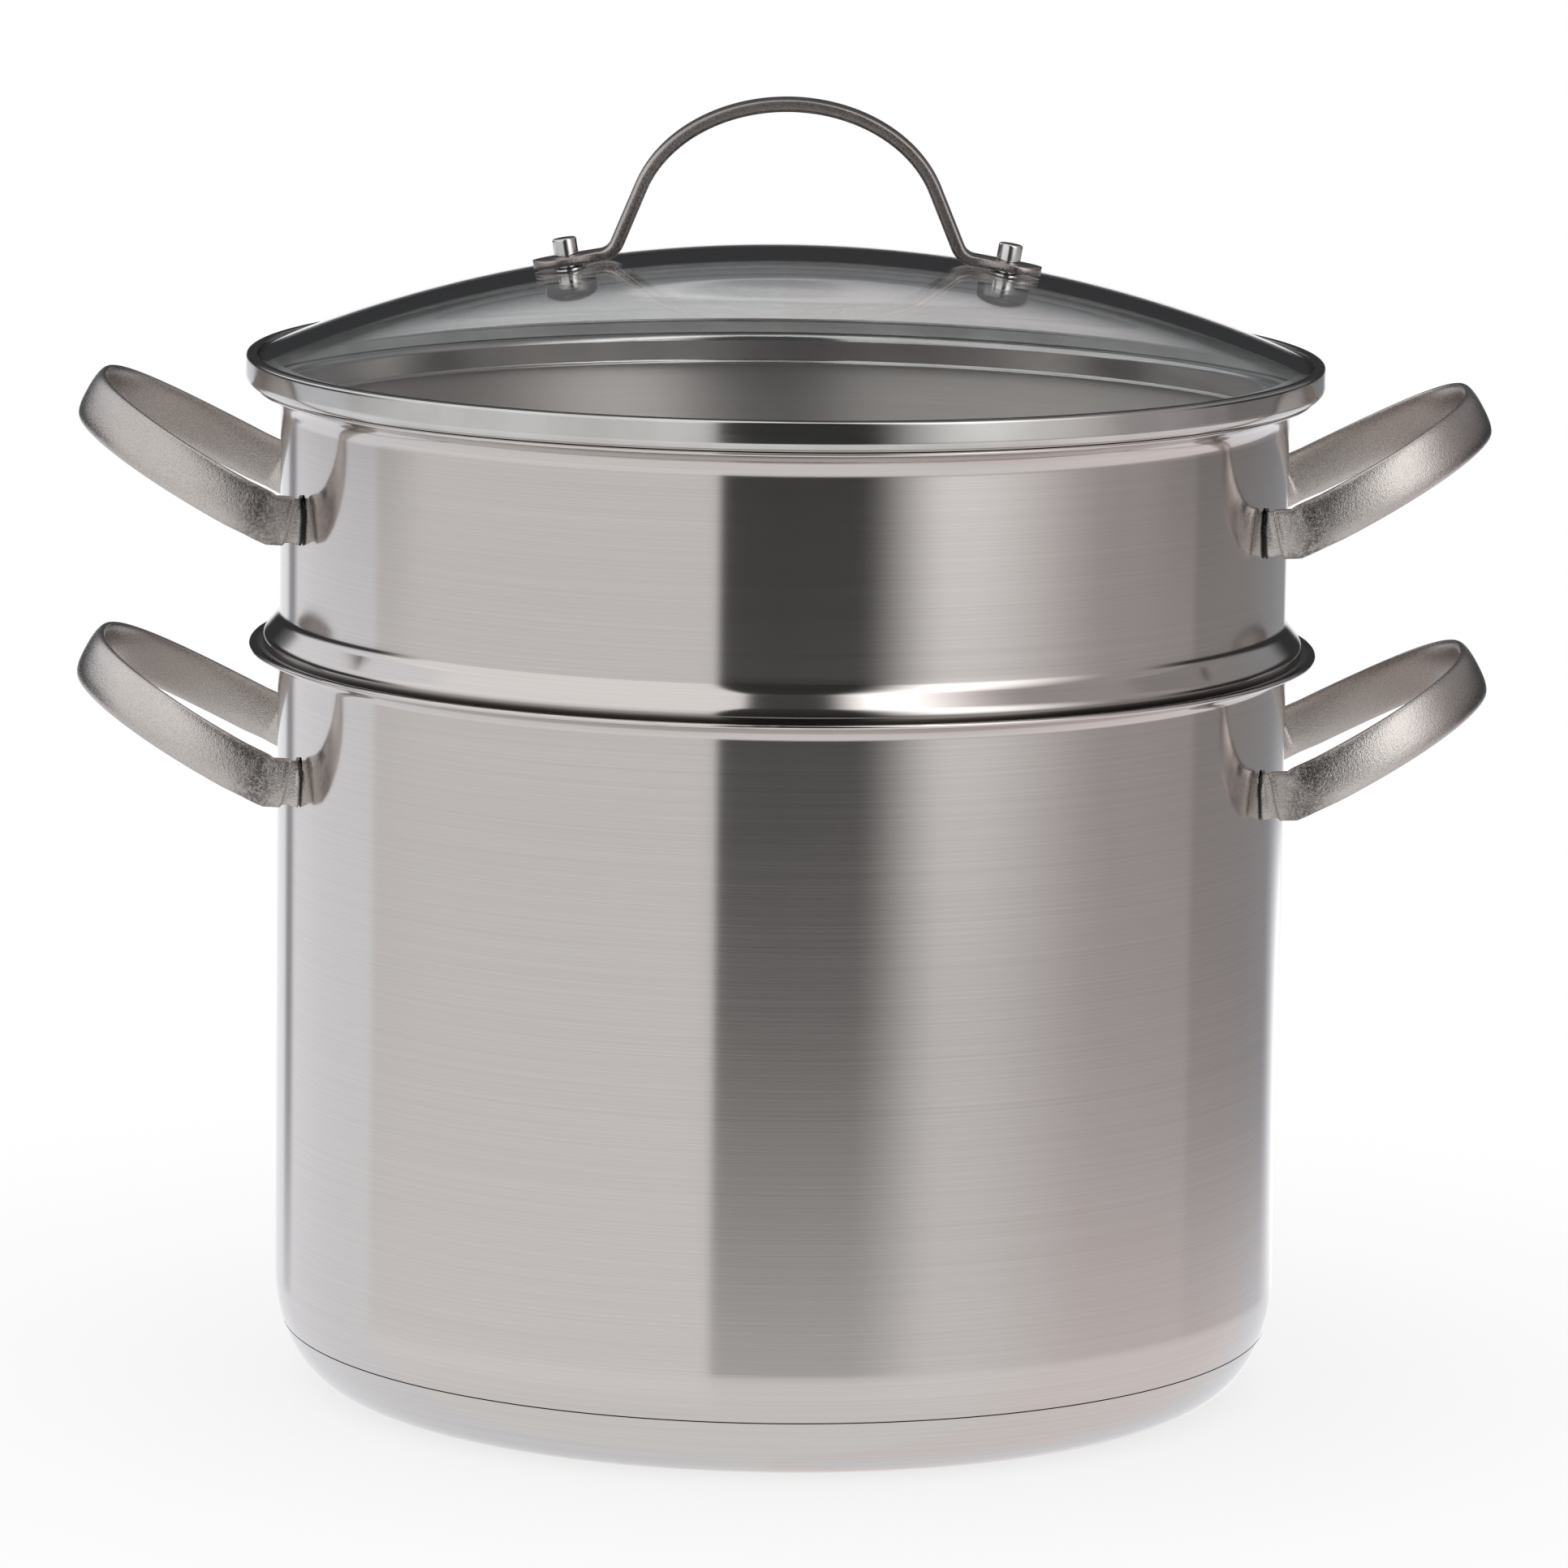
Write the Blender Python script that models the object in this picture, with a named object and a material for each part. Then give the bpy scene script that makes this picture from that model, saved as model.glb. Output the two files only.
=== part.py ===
import math

import bmesh
import bpy
from mathutils import Matrix, Vector

for leftover in list(bpy.data.objects):
    bpy.data.objects.remove(leftover, do_unlink=True)

# Everything is in metres. The pot stands on z = 0 with its axis on +Z, and its handles are on +X and -X.
SIDES = 40                  # flats round each turned shell
GAP = 0.0003                # air left between pieces that touch

# Pot: one drawn shell with a flared rim
POT_RADIUS = 0.1210         # outside of the straight wall
POT_TOP = 0.1793            # highest point of the rim
POT_SHEET = 0.0010
POT_FLARE = 0.0065          # how far the rim curls out past the wall
POT_FLOOR_CORNER = 0.0165   # inside, between the wall and the floor
FOOT_REACH = 0.0170         # how far the wall draws in to the flat base
FOOT_RISE = 0.0265          # height at which it starts to draw in
SEAM_HEIGHT = 0.0148        # upper edge of the pressed-on base cap
CAP_SHEET = 0.0010
CORE_THICKNESS = 0.0060
FLOOR_EDGE_REACH = 0.0040   # how far the shell's flat underside runs past the base's flat ring
FLOOR_SLOPE_RUN = 0.0060    # the slope from there up to the ledge behind the cap
FLOOR_SLOPE_RISE = 0.0020

# Pasta insert: a wall as wide as the pot, a bead that rests on the pot's rim, and a pierced basket
INSERT_SET_IN = 0.0004      # how much narrower its upper wall is than the pot's
INSERT_STAND = 0.0621       # height of its rim over the pot's
INSERT_SHEET = 0.0009
INSERT_FLARE = 0.0054
BEAD_RADIUS = 0.0041        # half-round bead, from the wall's outside
BEAD_RISE = 0.0044          # height of the bead's middle over the pot's rim
SHOULDER_DROP = 0.0075      # height over which the insert narrows to the basket
BASKET_CLEARANCE = 0.0040   # between the basket and the pot's wall
BASKET_FLOOR_CLEARANCE = 0.0164     # between the basket's floor and the pot's
BASKET_CORNER = 0.0120
WALL_HOLE_DIAMETER = 0.0080
WALL_HOLE_COLUMNS = SIDES // 2  # in each row, on every other flat; each second row uses the flats between
WALL_HOLE_ROWS = 5
WALL_HOLE_LOWEST = 0.0230   # over the basket's floor
WALL_HOLE_RISE = 0.0220     # from one row to the next
FLOOR_HOLE_DIAMETER = 0.0080
FLOOR_HOLE_SPACING = 0.0340
PUNCH_REACH = 0.0024        # how far a punch reaches past the sheet on each side

# Steamer basket: hangs on the inside of the insert's shoulder
STEAMER_SHEET = 0.0008
STEAMER_LIP = 0.0030        # upright lip over the seat
STEAMER_WALL_CLEARANCE = 0.0015
STEAMER_DEPTH = 0.0620
STEAMER_CORNER = 0.0100
STEAMER_HOLE_DIAMETER = 0.0080
STEAMER_HOLE_SPACING = 0.0340
LIFT_WIRE_DIAMETER = 0.0030
LIFT_SPREAD = 0.0480        # between the two legs of a lift loop
LIFT_HEIGHT = 0.0340
LIFT_CORNER = 0.0144
LIFT_LEG = 0.0220           # length of leg that lies on the basket's wall

# Lid: a domed glass in a rolled steel band
GLASS_DOME_RADIUS = 0.3224  # outer face
GLASS_THICKNESS = 0.0040
GLASS_EDGE_RISE = 0.0060    # from the insert's rim up to the glass's outer face at its edge
GLASS_EDGE_ROUNDING = 0.0008
BAND_OVERHANG = 0.0083      # past the insert's upper wall
BAND_SHEET = 0.0006
BAND_FACE = 0.0044          # height of the band's upright face
BAND_TUCK = 0.0021          # how far its lower edge draws in
BAND_LIP = 0.0023           # how far its upper edge rolls in over the glass
BAND_CORNER = 0.0012        # rounding between the face and the lip
SKIRT_DEPTH = 0.0113        # locating skirt inside the insert's mouth
SKIRT_CLEARANCE = 0.0012
SKIRT_CORNER = 0.0010
SEAL_WIDTH = 0.0045
STUD_REACH = 0.0523         # from the lid's axis to each stud
STUD_HEAD_DIAMETER = 0.0058
STUD_HEAD_HEIGHT = 0.0039
STUD_CHAMFER = 0.0006
STUD_SHANK_DIAMETER = 0.0044
BUSHING_WALL = 0.0012
BUSHING_FLANGE = 0.0006
WASHER_THICKNESS = 0.0006
CAP_DIAMETER = 0.0124
CAP_HEIGHT = 0.0036
CAP_RIM = 0.0012            # straight edge above the nut's dome
STUD_ENGAGEMENT = 0.0024    # how far a stud reaches into its nut
FIT = 0.0003                # running clearance of the studs and bushings

# Lid handle: an arched strap that ends in two round-nosed tabs
ARCH_RISE = 0.0367          # over the crown of the glass
ARCH_HALF_WIDTH = 0.0385    # outer face of the arch at its springing
ARCH_SPRING = 0.0306        # height of the arch above its springing
ARCH_SWEEP = 72.0           # degrees of the half arch before the leg runs straight
ARCH_STRAP_WIDTH = 0.0090
ARCH_STRAP_THICKNESS = 0.0033
TAB_WIDTH = 0.0125
TAB_THICKNESS = 0.0023
TAB_PAST_STUD = 0.0082      # from the stud's axis to the tab's nose
BEND_RADIUS = 0.0050

# Side handles: the same cast loop, welded on four times
HANDLE_TILT = 28.9          # degrees above level
HANDLE_SET_IN = 0.0036      # from the wall's outside in to the widest part of the loop
HANDLE_REACH = 0.0570       # along the tilted loop, root to tip
HANDLE_HALF_WIDTH = 0.0454
HANDLE_SQUARENESS = 2.46    # 2 would be an ellipse
HANDLE_BOW = 0.0006         # how far the loop sags midway between root and tip
HANDLE_STRAP_WIDTH = 0.0120
HANDLE_STRAP_THICKNESS = 0.0032
HANDLE_FOOT_SPREAD = 0.0440 # from the middle to the outer face of each foot
HANDLE_FOOT_LENGTH = 0.0042 # the upright end of the strap
HANDLE_HEEL_LENGTH = 0.0032 # over which the strap turns upright
HANDLE_FOOT_LIFT = 0.0017   # how much higher the foot stands than the loop's root
HANDLE_FOOT_SWELL = 0.0020  # extra thickness on the inside of each foot
HANDLE_FOOT_LEAN = 12.5     # degrees from upright, top edge nearer the wall
HANDLE_FOOT_STANDOFF = 0.0033   # from the wall to the foot's end, bridged by the weld boss
WELD_BOSS_SHARE = 0.72      # size of the weld boss over the foot's
WELD_BOSS_STEP = 0.0003
WELD_BOSS_FRONT = 0.0003    # how far the boss reaches in front of the strap's middle
POT_HANDLE_DROP = 0.0305    # from the pot's rim down to the loop's root
INSERT_HANDLE_DROP = 0.0301

# Places that follow from these sizes
POT_FLOOR_UNDERSIDE = CAP_SHEET + GAP + CORE_THICKNESS + GAP
POT_FLOOR_TOP = POT_FLOOR_UNDERSIDE + POT_SHEET
INSERT_RADIUS = POT_RADIUS - INSERT_SET_IN
INSERT_TOP = POT_TOP + INSERT_STAND
BASKET_RADIUS = POT_RADIUS - POT_SHEET - BASKET_CLEARANCE
BASKET_FLOOR_HEIGHT = POT_FLOOR_TOP + BASKET_FLOOR_CLEARANCE
BAND_RADIUS = INSERT_RADIUS + BAND_OVERHANG


def material(name, colour, roughness, metallic, transmission=0.0):
    made = bpy.data.materials.new(name)
    made.use_nodes = True
    shader = made.node_tree.nodes["Principled BSDF"]
    shader.inputs["Base Color"].default_value = (*colour, 1.0)
    shader.inputs["Roughness"].default_value = roughness
    shader.inputs["Metallic"].default_value = metallic
    shader.inputs["Transmission Weight"].default_value = transmission
    return made


def brushed_steel(name):
    return material(name, (0.62, 0.61, 0.60), 0.32, 1.0)


def polished_steel(name):
    return material(name, (0.72, 0.71, 0.70), 0.12, 1.0)


def cast_steel(name):
    return material(name, (0.42, 0.39, 0.37), 0.48, 1.0)


def silicone(name):
    return material(name, (0.60, 0.60, 0.58), 0.60, 0.0)


def add_object(name, mesh, finish):
    piece = bpy.data.objects.new(name, mesh)
    piece.data.materials.append(finish)
    bpy.context.scene.collection.objects.link(piece)
    return piece


def arc(centre, radius, start, end, steps):
    # Points round an ellipse of half axes radius, angles in degrees
    points = []
    for step in range(steps + 1):
        angle = math.radians(start + (end - start) * step / steps)
        points.append((centre[0] + radius[0] * math.cos(angle), centre[1] + radius[1] * math.sin(angle)))
    return points


def offset(points, distance):
    # The same line moved to the right of its direction, mitred at its corners
    moved = []
    for index, point in enumerate(points):
        before = Vector(points[max(index - 1, 0)])
        after = Vector(points[min(index + 1, len(points) - 1)])
        here = Vector(point)
        normals = []
        for run in (here - before, after - here):
            if run.length > 1e-9:
                run.normalize()
                normals.append(Vector((run.y, -run.x)))
        mitre = sum(normals, Vector((0.0, 0.0))).normalized()
        moved.append(tuple(here + mitre * (distance / max(mitre.dot(normals[0]), 0.5))))
    return moved


def sheet(outside, thickness):
    # Outline of bent sheet: up its inner line and down the outer one
    inside = offset(outside, thickness)
    if abs(outside[-1][0]) < 1e-9:
        inside[-1] = (0.0, inside[-1][1])
    return inside[::-1] + outside


def turned(name, outline, finish, sides=SIDES, closed=True):
    # Revolves an outline in the XZ plane about Z; an outline that starts and ends on the axis stays open there
    mesh = bpy.data.meshes.new(name)
    edges = [(index, index + 1) for index in range(len(outline) - 1)]
    if closed:
        edges.append((len(outline) - 1, 0))
    mesh.from_pydata([(x, 0.0, z) for x, z in outline], edges, [])
    piece = add_object(name, mesh, finish)
    screw = piece.modifiers.new("Turn", "SCREW")
    screw.steps = sides
    screw.render_steps = sides
    screw.use_merge_vertices = True
    screw.merge_threshold = 0.00001
    return piece


def smooth(piece, degrees=35.0):
    # Sharp edges are kept only where the surface really turns
    graph = bpy.context.evaluated_depsgraph_get()
    mesh = bpy.data.meshes.new_from_object(piece.evaluated_get(graph))
    finish = piece.data.materials[0]
    piece.modifiers.clear()
    piece.data = mesh
    if not mesh.materials:
        mesh.materials.append(finish)
    mesh.shade_smooth()
    mesh.set_sharp_from_angle(angle=math.radians(degrees))
    return piece


def cut(piece, cutter):
    cutter.hide_render = True
    cutter.display_type = "WIRE"
    boolean = piece.modifiers.new("Cut", "BOOLEAN")
    boolean.operation = "DIFFERENCE"
    boolean.solver = "EXACT"
    boolean.object = cutter
    return boolean


def prisms(name, places, diameter, length):
    # One cutter of six-sided punches, each given by its middle and the direction that it points in
    punches = bmesh.new()
    for middle, direction in places:
        turn = Vector((0.0, 0.0, 1.0)).rotation_difference(direction).to_matrix().to_4x4()
        bmesh.ops.create_cone(punches, cap_ends=True, segments=6, radius1=diameter / 2, radius2=diameter / 2,
                              depth=length, matrix=Matrix.Translation(middle) @ turn)
    mesh = bpy.data.meshes.new(name)
    punches.to_mesh(mesh)
    punches.free()
    return add_object(name, mesh, silicone(name))


def floor_places(spacing, limit, height):
    # Triangular grid of punch places inside a circle
    places = []
    row_step = spacing * math.sqrt(3) / 2
    rows = int(limit / row_step)
    for row in range(-rows, rows + 1):
        shift = spacing / 2 if row % 2 else 0.0
        columns = int(limit / spacing) + 1
        for column in range(-columns, columns + 1):
            x = column * spacing + shift
            y = row * row_step
            if math.hypot(x, y) <= limit:
                places.append((Vector((x, y, height)), Vector((0.0, 0.0, 1.0))))
    return places


# Pot and its base

def foot_curve(inset, start, end, steps):
    # The base's rounded corner, moved in by inset; 0 degrees is at the wall and -90 at the flat base
    centre = (POT_RADIUS - FOOT_REACH, FOOT_RISE)
    return arc(centre, (FOOT_REACH - inset, FOOT_RISE - inset), start, end, steps)


def foot_angle(height, inset):
    # Angle on the rounded corner at which it passes a height
    return math.degrees(math.asin((height - FOOT_RISE) / (FOOT_RISE - inset)))


TUCK = CAP_SHEET + GAP      # how far the shell steps in behind the cap
FLARE_CENTRE = (POT_RADIUS + POT_FLARE, POT_TOP - POT_SHEET - POT_FLARE)


def pot_outside():
    line = arc(FLARE_CENTRE, (POT_FLARE, POT_FLARE), 90, 180, 3)
    line += foot_curve(0.0, 0.0, foot_angle(SEAM_HEIGHT + GAP, 0.0), 3)
    shoulder = line[-1][0]
    line.append((shoulder - TUCK, SEAM_HEIGHT + GAP))
    floor_edge = POT_RADIUS - FOOT_REACH + FLOOR_EDGE_REACH
    line.append((floor_edge + FLOOR_SLOPE_RUN, POT_FLOOR_UNDERSIDE + FLOOR_SLOPE_RISE))
    line.append((floor_edge, POT_FLOOR_UNDERSIDE))
    line.append((0.0, POT_FLOOR_UNDERSIDE))
    return line


def pot_body():
    outside = pot_outside()
    rim = arc(FLARE_CENTRE, (POT_FLARE + POT_SHEET,) * 2, 90, 180, 3)
    inner_radius = POT_RADIUS - POT_SHEET
    corner_centre = (inner_radius - POT_FLOOR_CORNER, POT_FLOOR_TOP + POT_FLOOR_CORNER)
    inside = rim + arc(corner_centre, (POT_FLOOR_CORNER, POT_FLOOR_CORNER), 0, -90, 3)
    inside.append((0.0, POT_FLOOR_TOP))
    return smooth(turned("pot_body", inside[::-1] + outside, brushed_steel("pot steel"), closed=False))


def base_cap():
    top = foot_angle(SEAM_HEIGHT, 0.0)
    outside = foot_curve(0.0, top, -90, 4) + [(0.0, 0.0)]
    inner_top = foot_angle(SEAM_HEIGHT, CAP_SHEET)
    inside = foot_curve(CAP_SHEET, inner_top, -90, 4) + [(0.0, CAP_SHEET)]
    return smooth(turned("pot_base_cap", inside[::-1] + outside, polished_steel("base cap steel"), closed=False))


def base_core():
    inset = CAP_SHEET + GAP
    top = inset + CORE_THICKNESS
    outline = [(0.0, top)] + foot_curve(inset, foot_angle(top, inset), -90, 3) + [(0.0, inset)]
    return smooth(turned("pot_base_core", outline, material("aluminium core", (0.80, 0.80, 0.81), 0.45, 1.0),
                         closed=False))


# Pasta insert

BEAD_CENTRE = (INSERT_RADIUS, POT_TOP + BEAD_RISE)
SEAT_RADIUS = POT_FLARE + POT_SHEET + GAP
NECK_RADIUS = FLARE_CENTRE[0] - SEAT_RADIUS     # outside of the insert just below its seat


def shoulder_line():
    # Smooth step from the neck in to the basket's wall
    line = []
    steps = 3
    for step in range(steps + 1):
        share = step / steps
        blend = (1 - math.cos(math.pi * share)) / 2
        line.append((NECK_RADIUS + (BASKET_RADIUS - NECK_RADIUS) * blend,
                     FLARE_CENTRE[1] - SHOULDER_DROP * share))
    return line


def insert_outside():
    rim_centre = (INSERT_RADIUS + INSERT_FLARE, INSERT_TOP - INSERT_SHEET - INSERT_FLARE)
    line = arc(rim_centre, (INSERT_FLARE, INSERT_FLARE), 90, 180, 3)
    line += arc(BEAD_CENTRE, (BEAD_RADIUS, BEAD_RADIUS), 90, -40, 3)
    line += arc(FLARE_CENTRE, (SEAT_RADIUS, SEAT_RADIUS), 128, 160, 1)
    line += shoulder_line()
    corner_centre = (BASKET_RADIUS - BASKET_CORNER, BASKET_FLOOR_HEIGHT + BASKET_CORNER)
    line += arc(corner_centre, (BASKET_CORNER, BASKET_CORNER), 0, -90, 3)
    line.append((0.0, BASKET_FLOOR_HEIGHT))
    return line


def wall_places(radius):
    places = []
    for row in range(WALL_HOLE_ROWS):
        for column in range(WALL_HOLE_COLUMNS):
            turn = (column + 0.25 + 0.5 * (row % 2)) * 2 * math.pi / WALL_HOLE_COLUMNS
            outward = Vector((math.cos(turn), math.sin(turn), 0.0))
            height = BASKET_FLOOR_HEIGHT + WALL_HOLE_LOWEST + WALL_HOLE_RISE * row
            places.append((outward * radius + Vector((0.0, 0.0, height)), outward))
    return places


def pasta_insert():
    piece = turned("pasta_insert", sheet(insert_outside(), INSERT_SHEET), brushed_steel("insert steel"),
                   closed=False)
    punch_length = INSERT_SHEET + 2 * PUNCH_REACH
    wall = prisms("wall_punches", wall_places(BASKET_RADIUS - INSERT_SHEET / 2), WALL_HOLE_DIAMETER,
                  punch_length)
    reach = BASKET_RADIUS - BASKET_CORNER - FLOOR_HOLE_DIAMETER
    floor = prisms("floor_punches", floor_places(FLOOR_HOLE_SPACING, reach, BASKET_FLOOR_HEIGHT),
                   FLOOR_HOLE_DIAMETER, punch_length)
    cut(piece, wall)
    cut(piece, floor)
    return smooth(piece)


# Steamer basket and its lift loops

STEAMER_SEAT = offset(shoulder_line(), INSERT_SHEET + GAP)
STEAMER_RADIUS = STEAMER_SEAT[-1][0] - STEAMER_WALL_CLEARANCE
STEAMER_FLOOR_HEIGHT = STEAMER_SEAT[0][1] - STEAMER_DEPTH


def steamer_basket():
    line = [(STEAMER_SEAT[0][0], STEAMER_SEAT[0][1] + STEAMER_LIP)]
    line += STEAMER_SEAT[:-1]
    line.append((STEAMER_RADIUS, STEAMER_SEAT[-1][1] - SHOULDER_DROP / 4))
    centre = (STEAMER_RADIUS - STEAMER_CORNER, STEAMER_FLOOR_HEIGHT + STEAMER_CORNER)
    line += arc(centre, (STEAMER_CORNER, STEAMER_CORNER), 0, -90, 3)
    line.append((0.0, STEAMER_FLOOR_HEIGHT))
    piece = turned("steamer_basket", sheet(line, STEAMER_SHEET), brushed_steel("steamer steel"), closed=False)
    reach = STEAMER_RADIUS - STEAMER_CORNER - STEAMER_HOLE_DIAMETER
    punches = prisms("steamer_punches", floor_places(STEAMER_HOLE_SPACING, reach, STEAMER_FLOOR_HEIGHT),
                     STEAMER_HOLE_DIAMETER, STEAMER_SHEET + 2 * PUNCH_REACH)
    cut(piece, punches)
    return smooth(piece)


def lift_loop(name, side):
    half = LIFT_SPREAD / 2
    wire = LIFT_WIRE_DIAMETER / 2
    wall = (STEAMER_RADIUS - STEAMER_SHEET) * math.cos(math.pi / SIDES)
    along = math.sqrt((wall - GAP - wire) ** 2 - half ** 2)
    top_of_basket = STEAMER_SEAT[0][1] + STEAMER_LIP
    start = top_of_basket - LIFT_LEG
    points = [(-half, start)]
    corner = (LIFT_CORNER, LIFT_CORNER)
    crown = start + LIFT_HEIGHT
    points += arc((-half + LIFT_CORNER, crown - LIFT_CORNER), corner, 180, 90, 4)
    points += arc((half - LIFT_CORNER, crown - LIFT_CORNER), corner, 90, 0, 4)
    points.append((half, start))
    curve = bpy.data.curves.new(name, "CURVE")
    curve.dimensions = "3D"
    curve.bevel_depth = wire
    curve.bevel_resolution = 1
    curve.use_fill_caps = True
    spline = curve.splines.new("POLY")
    spline.points.add(len(points) - 1)
    for point, (across, height) in zip(spline.points, points):
        point.co = (side * along, across, height, 1.0)
    return add_object(name, curve, polished_steel(name + " steel"))


# Strap that is swept along a path in one plane

def strap(name, path, finish, profile):
    # path gives (point, across, half width, reach inside, reach outside); across is square to the path.
    # profile holds the section's unit points, first across the strap and then through it
    points = [step[0] for step in path]
    shape = bmesh.new()
    rings = []
    for index, (point, across, half_width, inside, outside) in enumerate(path):
        before = points[max(index - 1, 0)]
        after = points[min(index + 1, len(points) - 1)]
        through = (after - before).normalized().cross(across).normalized()
        ring = []
        for wide, deep in profile:
            reach = outside if deep > 0 else inside
            ring.append(shape.verts.new(point + across * (wide * half_width) + through * (deep * reach)))
        rings.append(ring)
    count = len(profile)
    for one, two in zip(rings, rings[1:]):
        for index in range(count):
            following = (index + 1) % count
            shape.faces.new((one[index], one[following], two[following], two[index]))
    shape.faces.new(rings[0][::-1])
    shape.faces.new(rings[-1])
    bmesh.ops.recalc_face_normals(shape, faces=shape.faces[:])
    mesh = bpy.data.meshes.new(name)
    shape.to_mesh(mesh)
    shape.free()
    return add_object(name, mesh, finish)


def rounded_section(points, squareness):
    # Superellipse of unit half axes
    section = []
    for index in range(points):
        angle = 2 * math.pi * (index + 0.5) / points
        wide = math.copysign(abs(math.cos(angle)) ** (2 / squareness), math.cos(angle))
        deep = math.copysign(abs(math.sin(angle)) ** (2 / squareness), math.sin(angle))
        section.append((wide, deep))
    return section


# Side handles

def side_handle(name, side, height, wall_radius):
    tilt = math.radians(HANDLE_TILT)
    along = Vector((side * math.cos(tilt), 0.0, math.sin(tilt)))
    across = Vector((-side * math.sin(tilt), 0.0, math.cos(tilt)))
    lean = math.radians(HANDLE_FOOT_LEAN)
    footing = Vector((-side * math.sin(lean), 0.0, math.cos(lean)))
    root_radius = wall_radius - HANDLE_SET_IN
    root = Vector((side * root_radius, 0.0, height))
    thick = HANDLE_STRAP_THICKNESS / 2
    wide = HANDLE_STRAP_WIDTH / 2
    reach = HANDLE_REACH - thick
    spread = HANDLE_HALF_WIDTH - thick
    power = 2 / HANDLE_SQUARENESS
    steps = 9
    half = []
    for step in range(steps):
        angle = math.pi / 2 * step / steps
        share = math.cos(angle) ** power
        point = root + along * (reach * share)
        point.y = spread * math.sin(angle) ** power
        point.z -= 4 * HANDLE_BOW * share * (1 - share)
        half.append((point, across, wide, thick, thick))
    # The strap turns upright at its foot, and a smaller weld boss bridges the gap to the wall
    foot_radius = wall_radius + HANDLE_FOOT_STANDOFF
    foot_y = HANDLE_FOOT_SPREAD - thick
    foot_x = math.sqrt(foot_radius ** 2 - foot_y ** 2)
    inward = Vector((-side * foot_x, -foot_y, 0.0)) / foot_radius
    foot = Vector((side * foot_x, foot_y, height + HANDLE_FOOT_LIFT))
    swell = thick + HANDLE_FOOT_SWELL
    for beyond, y, normal, inside in (
            (HANDLE_FOOT_LENGTH + HANDLE_HEEL_LENGTH, spread, across, thick),
            (HANDLE_FOOT_LENGTH, (foot_y + 2 * spread) / 3, footing, swell)):
        x = foot_x + beyond
        slope_height = height + (x - root_radius) * math.tan(tilt)
        half.append((Vector((side * x, y, slope_height)), normal, wide, inside, thick))
    half.append((foot, footing, wide, swell, thick))
    boss = (footing, wide * WELD_BOSS_SHARE, swell * WELD_BOSS_SHARE, WELD_BOSS_FRONT)
    half.append((foot + inward * WELD_BOSS_STEP, *boss))
    half.append((foot + inward * (2 * HANDLE_FOOT_STANDOFF), *boss))
    far = []
    for point, normal, width, inside, outside in half[:0:-1]:
        far.append((Vector((point.x, -point.y, point.z)), normal, width, inside, outside))
    path = far + half
    if side < 0:
        path = path[::-1]
    piece = strap(name, path, cast_steel(name + " steel"), rounded_section(8, 3.2))
    top = height + HANDLE_REACH
    bottom = height - HANDLE_REACH
    face = wall_radius + GAP
    wall = turned(name + "_wall", [(0.0, top), (face, top), (face, bottom), (0.0, bottom)],
                  silicone(name + " cutter"), closed=False)
    cut(piece, wall)
    return smooth(piece, 50.0)


# Lid

LID_SEAT = INSERT_TOP + GAP                     # underside of the band where it rests on the insert
GLASS_EDGE = BAND_RADIUS - BAND_SHEET - GAP
GLASS_INNER_RADIUS = GLASS_DOME_RADIUS - GLASS_THICKNESS
SPHERE_CENTRE = INSERT_TOP + GLASS_EDGE_RISE - math.sqrt(GLASS_DOME_RADIUS ** 2 - GLASS_EDGE ** 2)
MOUTH_RADIUS = INSERT_RADIUS - INSERT_SHEET


def dome_height(radius, sphere):
    return SPHERE_CENTRE + math.sqrt(sphere ** 2 - radius ** 2)


def dome_line(first, last, sphere, steps):
    line = []
    for step in range(steps + 1):
        radius = first + (last - first) * step / steps
        line.append((radius, dome_height(radius, sphere)))
    return line


def stud_frame(side):
    # Local frame on the glass at a stud: z along the glass's outward normal
    lean = math.asin(STUD_REACH / GLASS_DOME_RADIUS)
    place = Matrix.Translation((side * STUD_REACH, 0.0, dome_height(STUD_REACH, GLASS_DOME_RADIUS)))
    return place @ Matrix.Rotation(side * lean, 4, "Y")


def place_at(piece, frame):
    piece.matrix_world = frame
    return piece


def lid_glass():
    flat_edge = GLASS_EDGE - GLASS_EDGE_ROUNDING
    outside = dome_line(0.0, flat_edge, GLASS_DOME_RADIUS, 5)
    outside.append((GLASS_EDGE, dome_height(GLASS_EDGE, GLASS_DOME_RADIUS) - GLASS_EDGE_ROUNDING))
    inside = dome_line(0.0, flat_edge, GLASS_INNER_RADIUS, 5)
    inside.append((GLASS_EDGE, dome_height(GLASS_EDGE, GLASS_INNER_RADIUS) + GLASS_EDGE_ROUNDING))
    glass = material("lid glass", (0.80, 0.83, 0.84), 0.03, 0.0, 1.0)
    piece = turned("lid_glass", outside + inside[::-1], glass, closed=False)
    hole = STUD_SHANK_DIAMETER / 2 + BUSHING_WALL + 2 * FIT
    length = 3 * GLASS_THICKNESS
    for side in (-1, 1):
        drill = turned("glass_drill", [(0.0, length), (hole, length), (hole, -length), (0.0, -length)],
                       silicone("drill"), 12, closed=False)
        place_at(drill, stud_frame(side))
        cut(piece, drill)
    bpy.context.view_layer.update()
    return smooth(piece)


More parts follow.
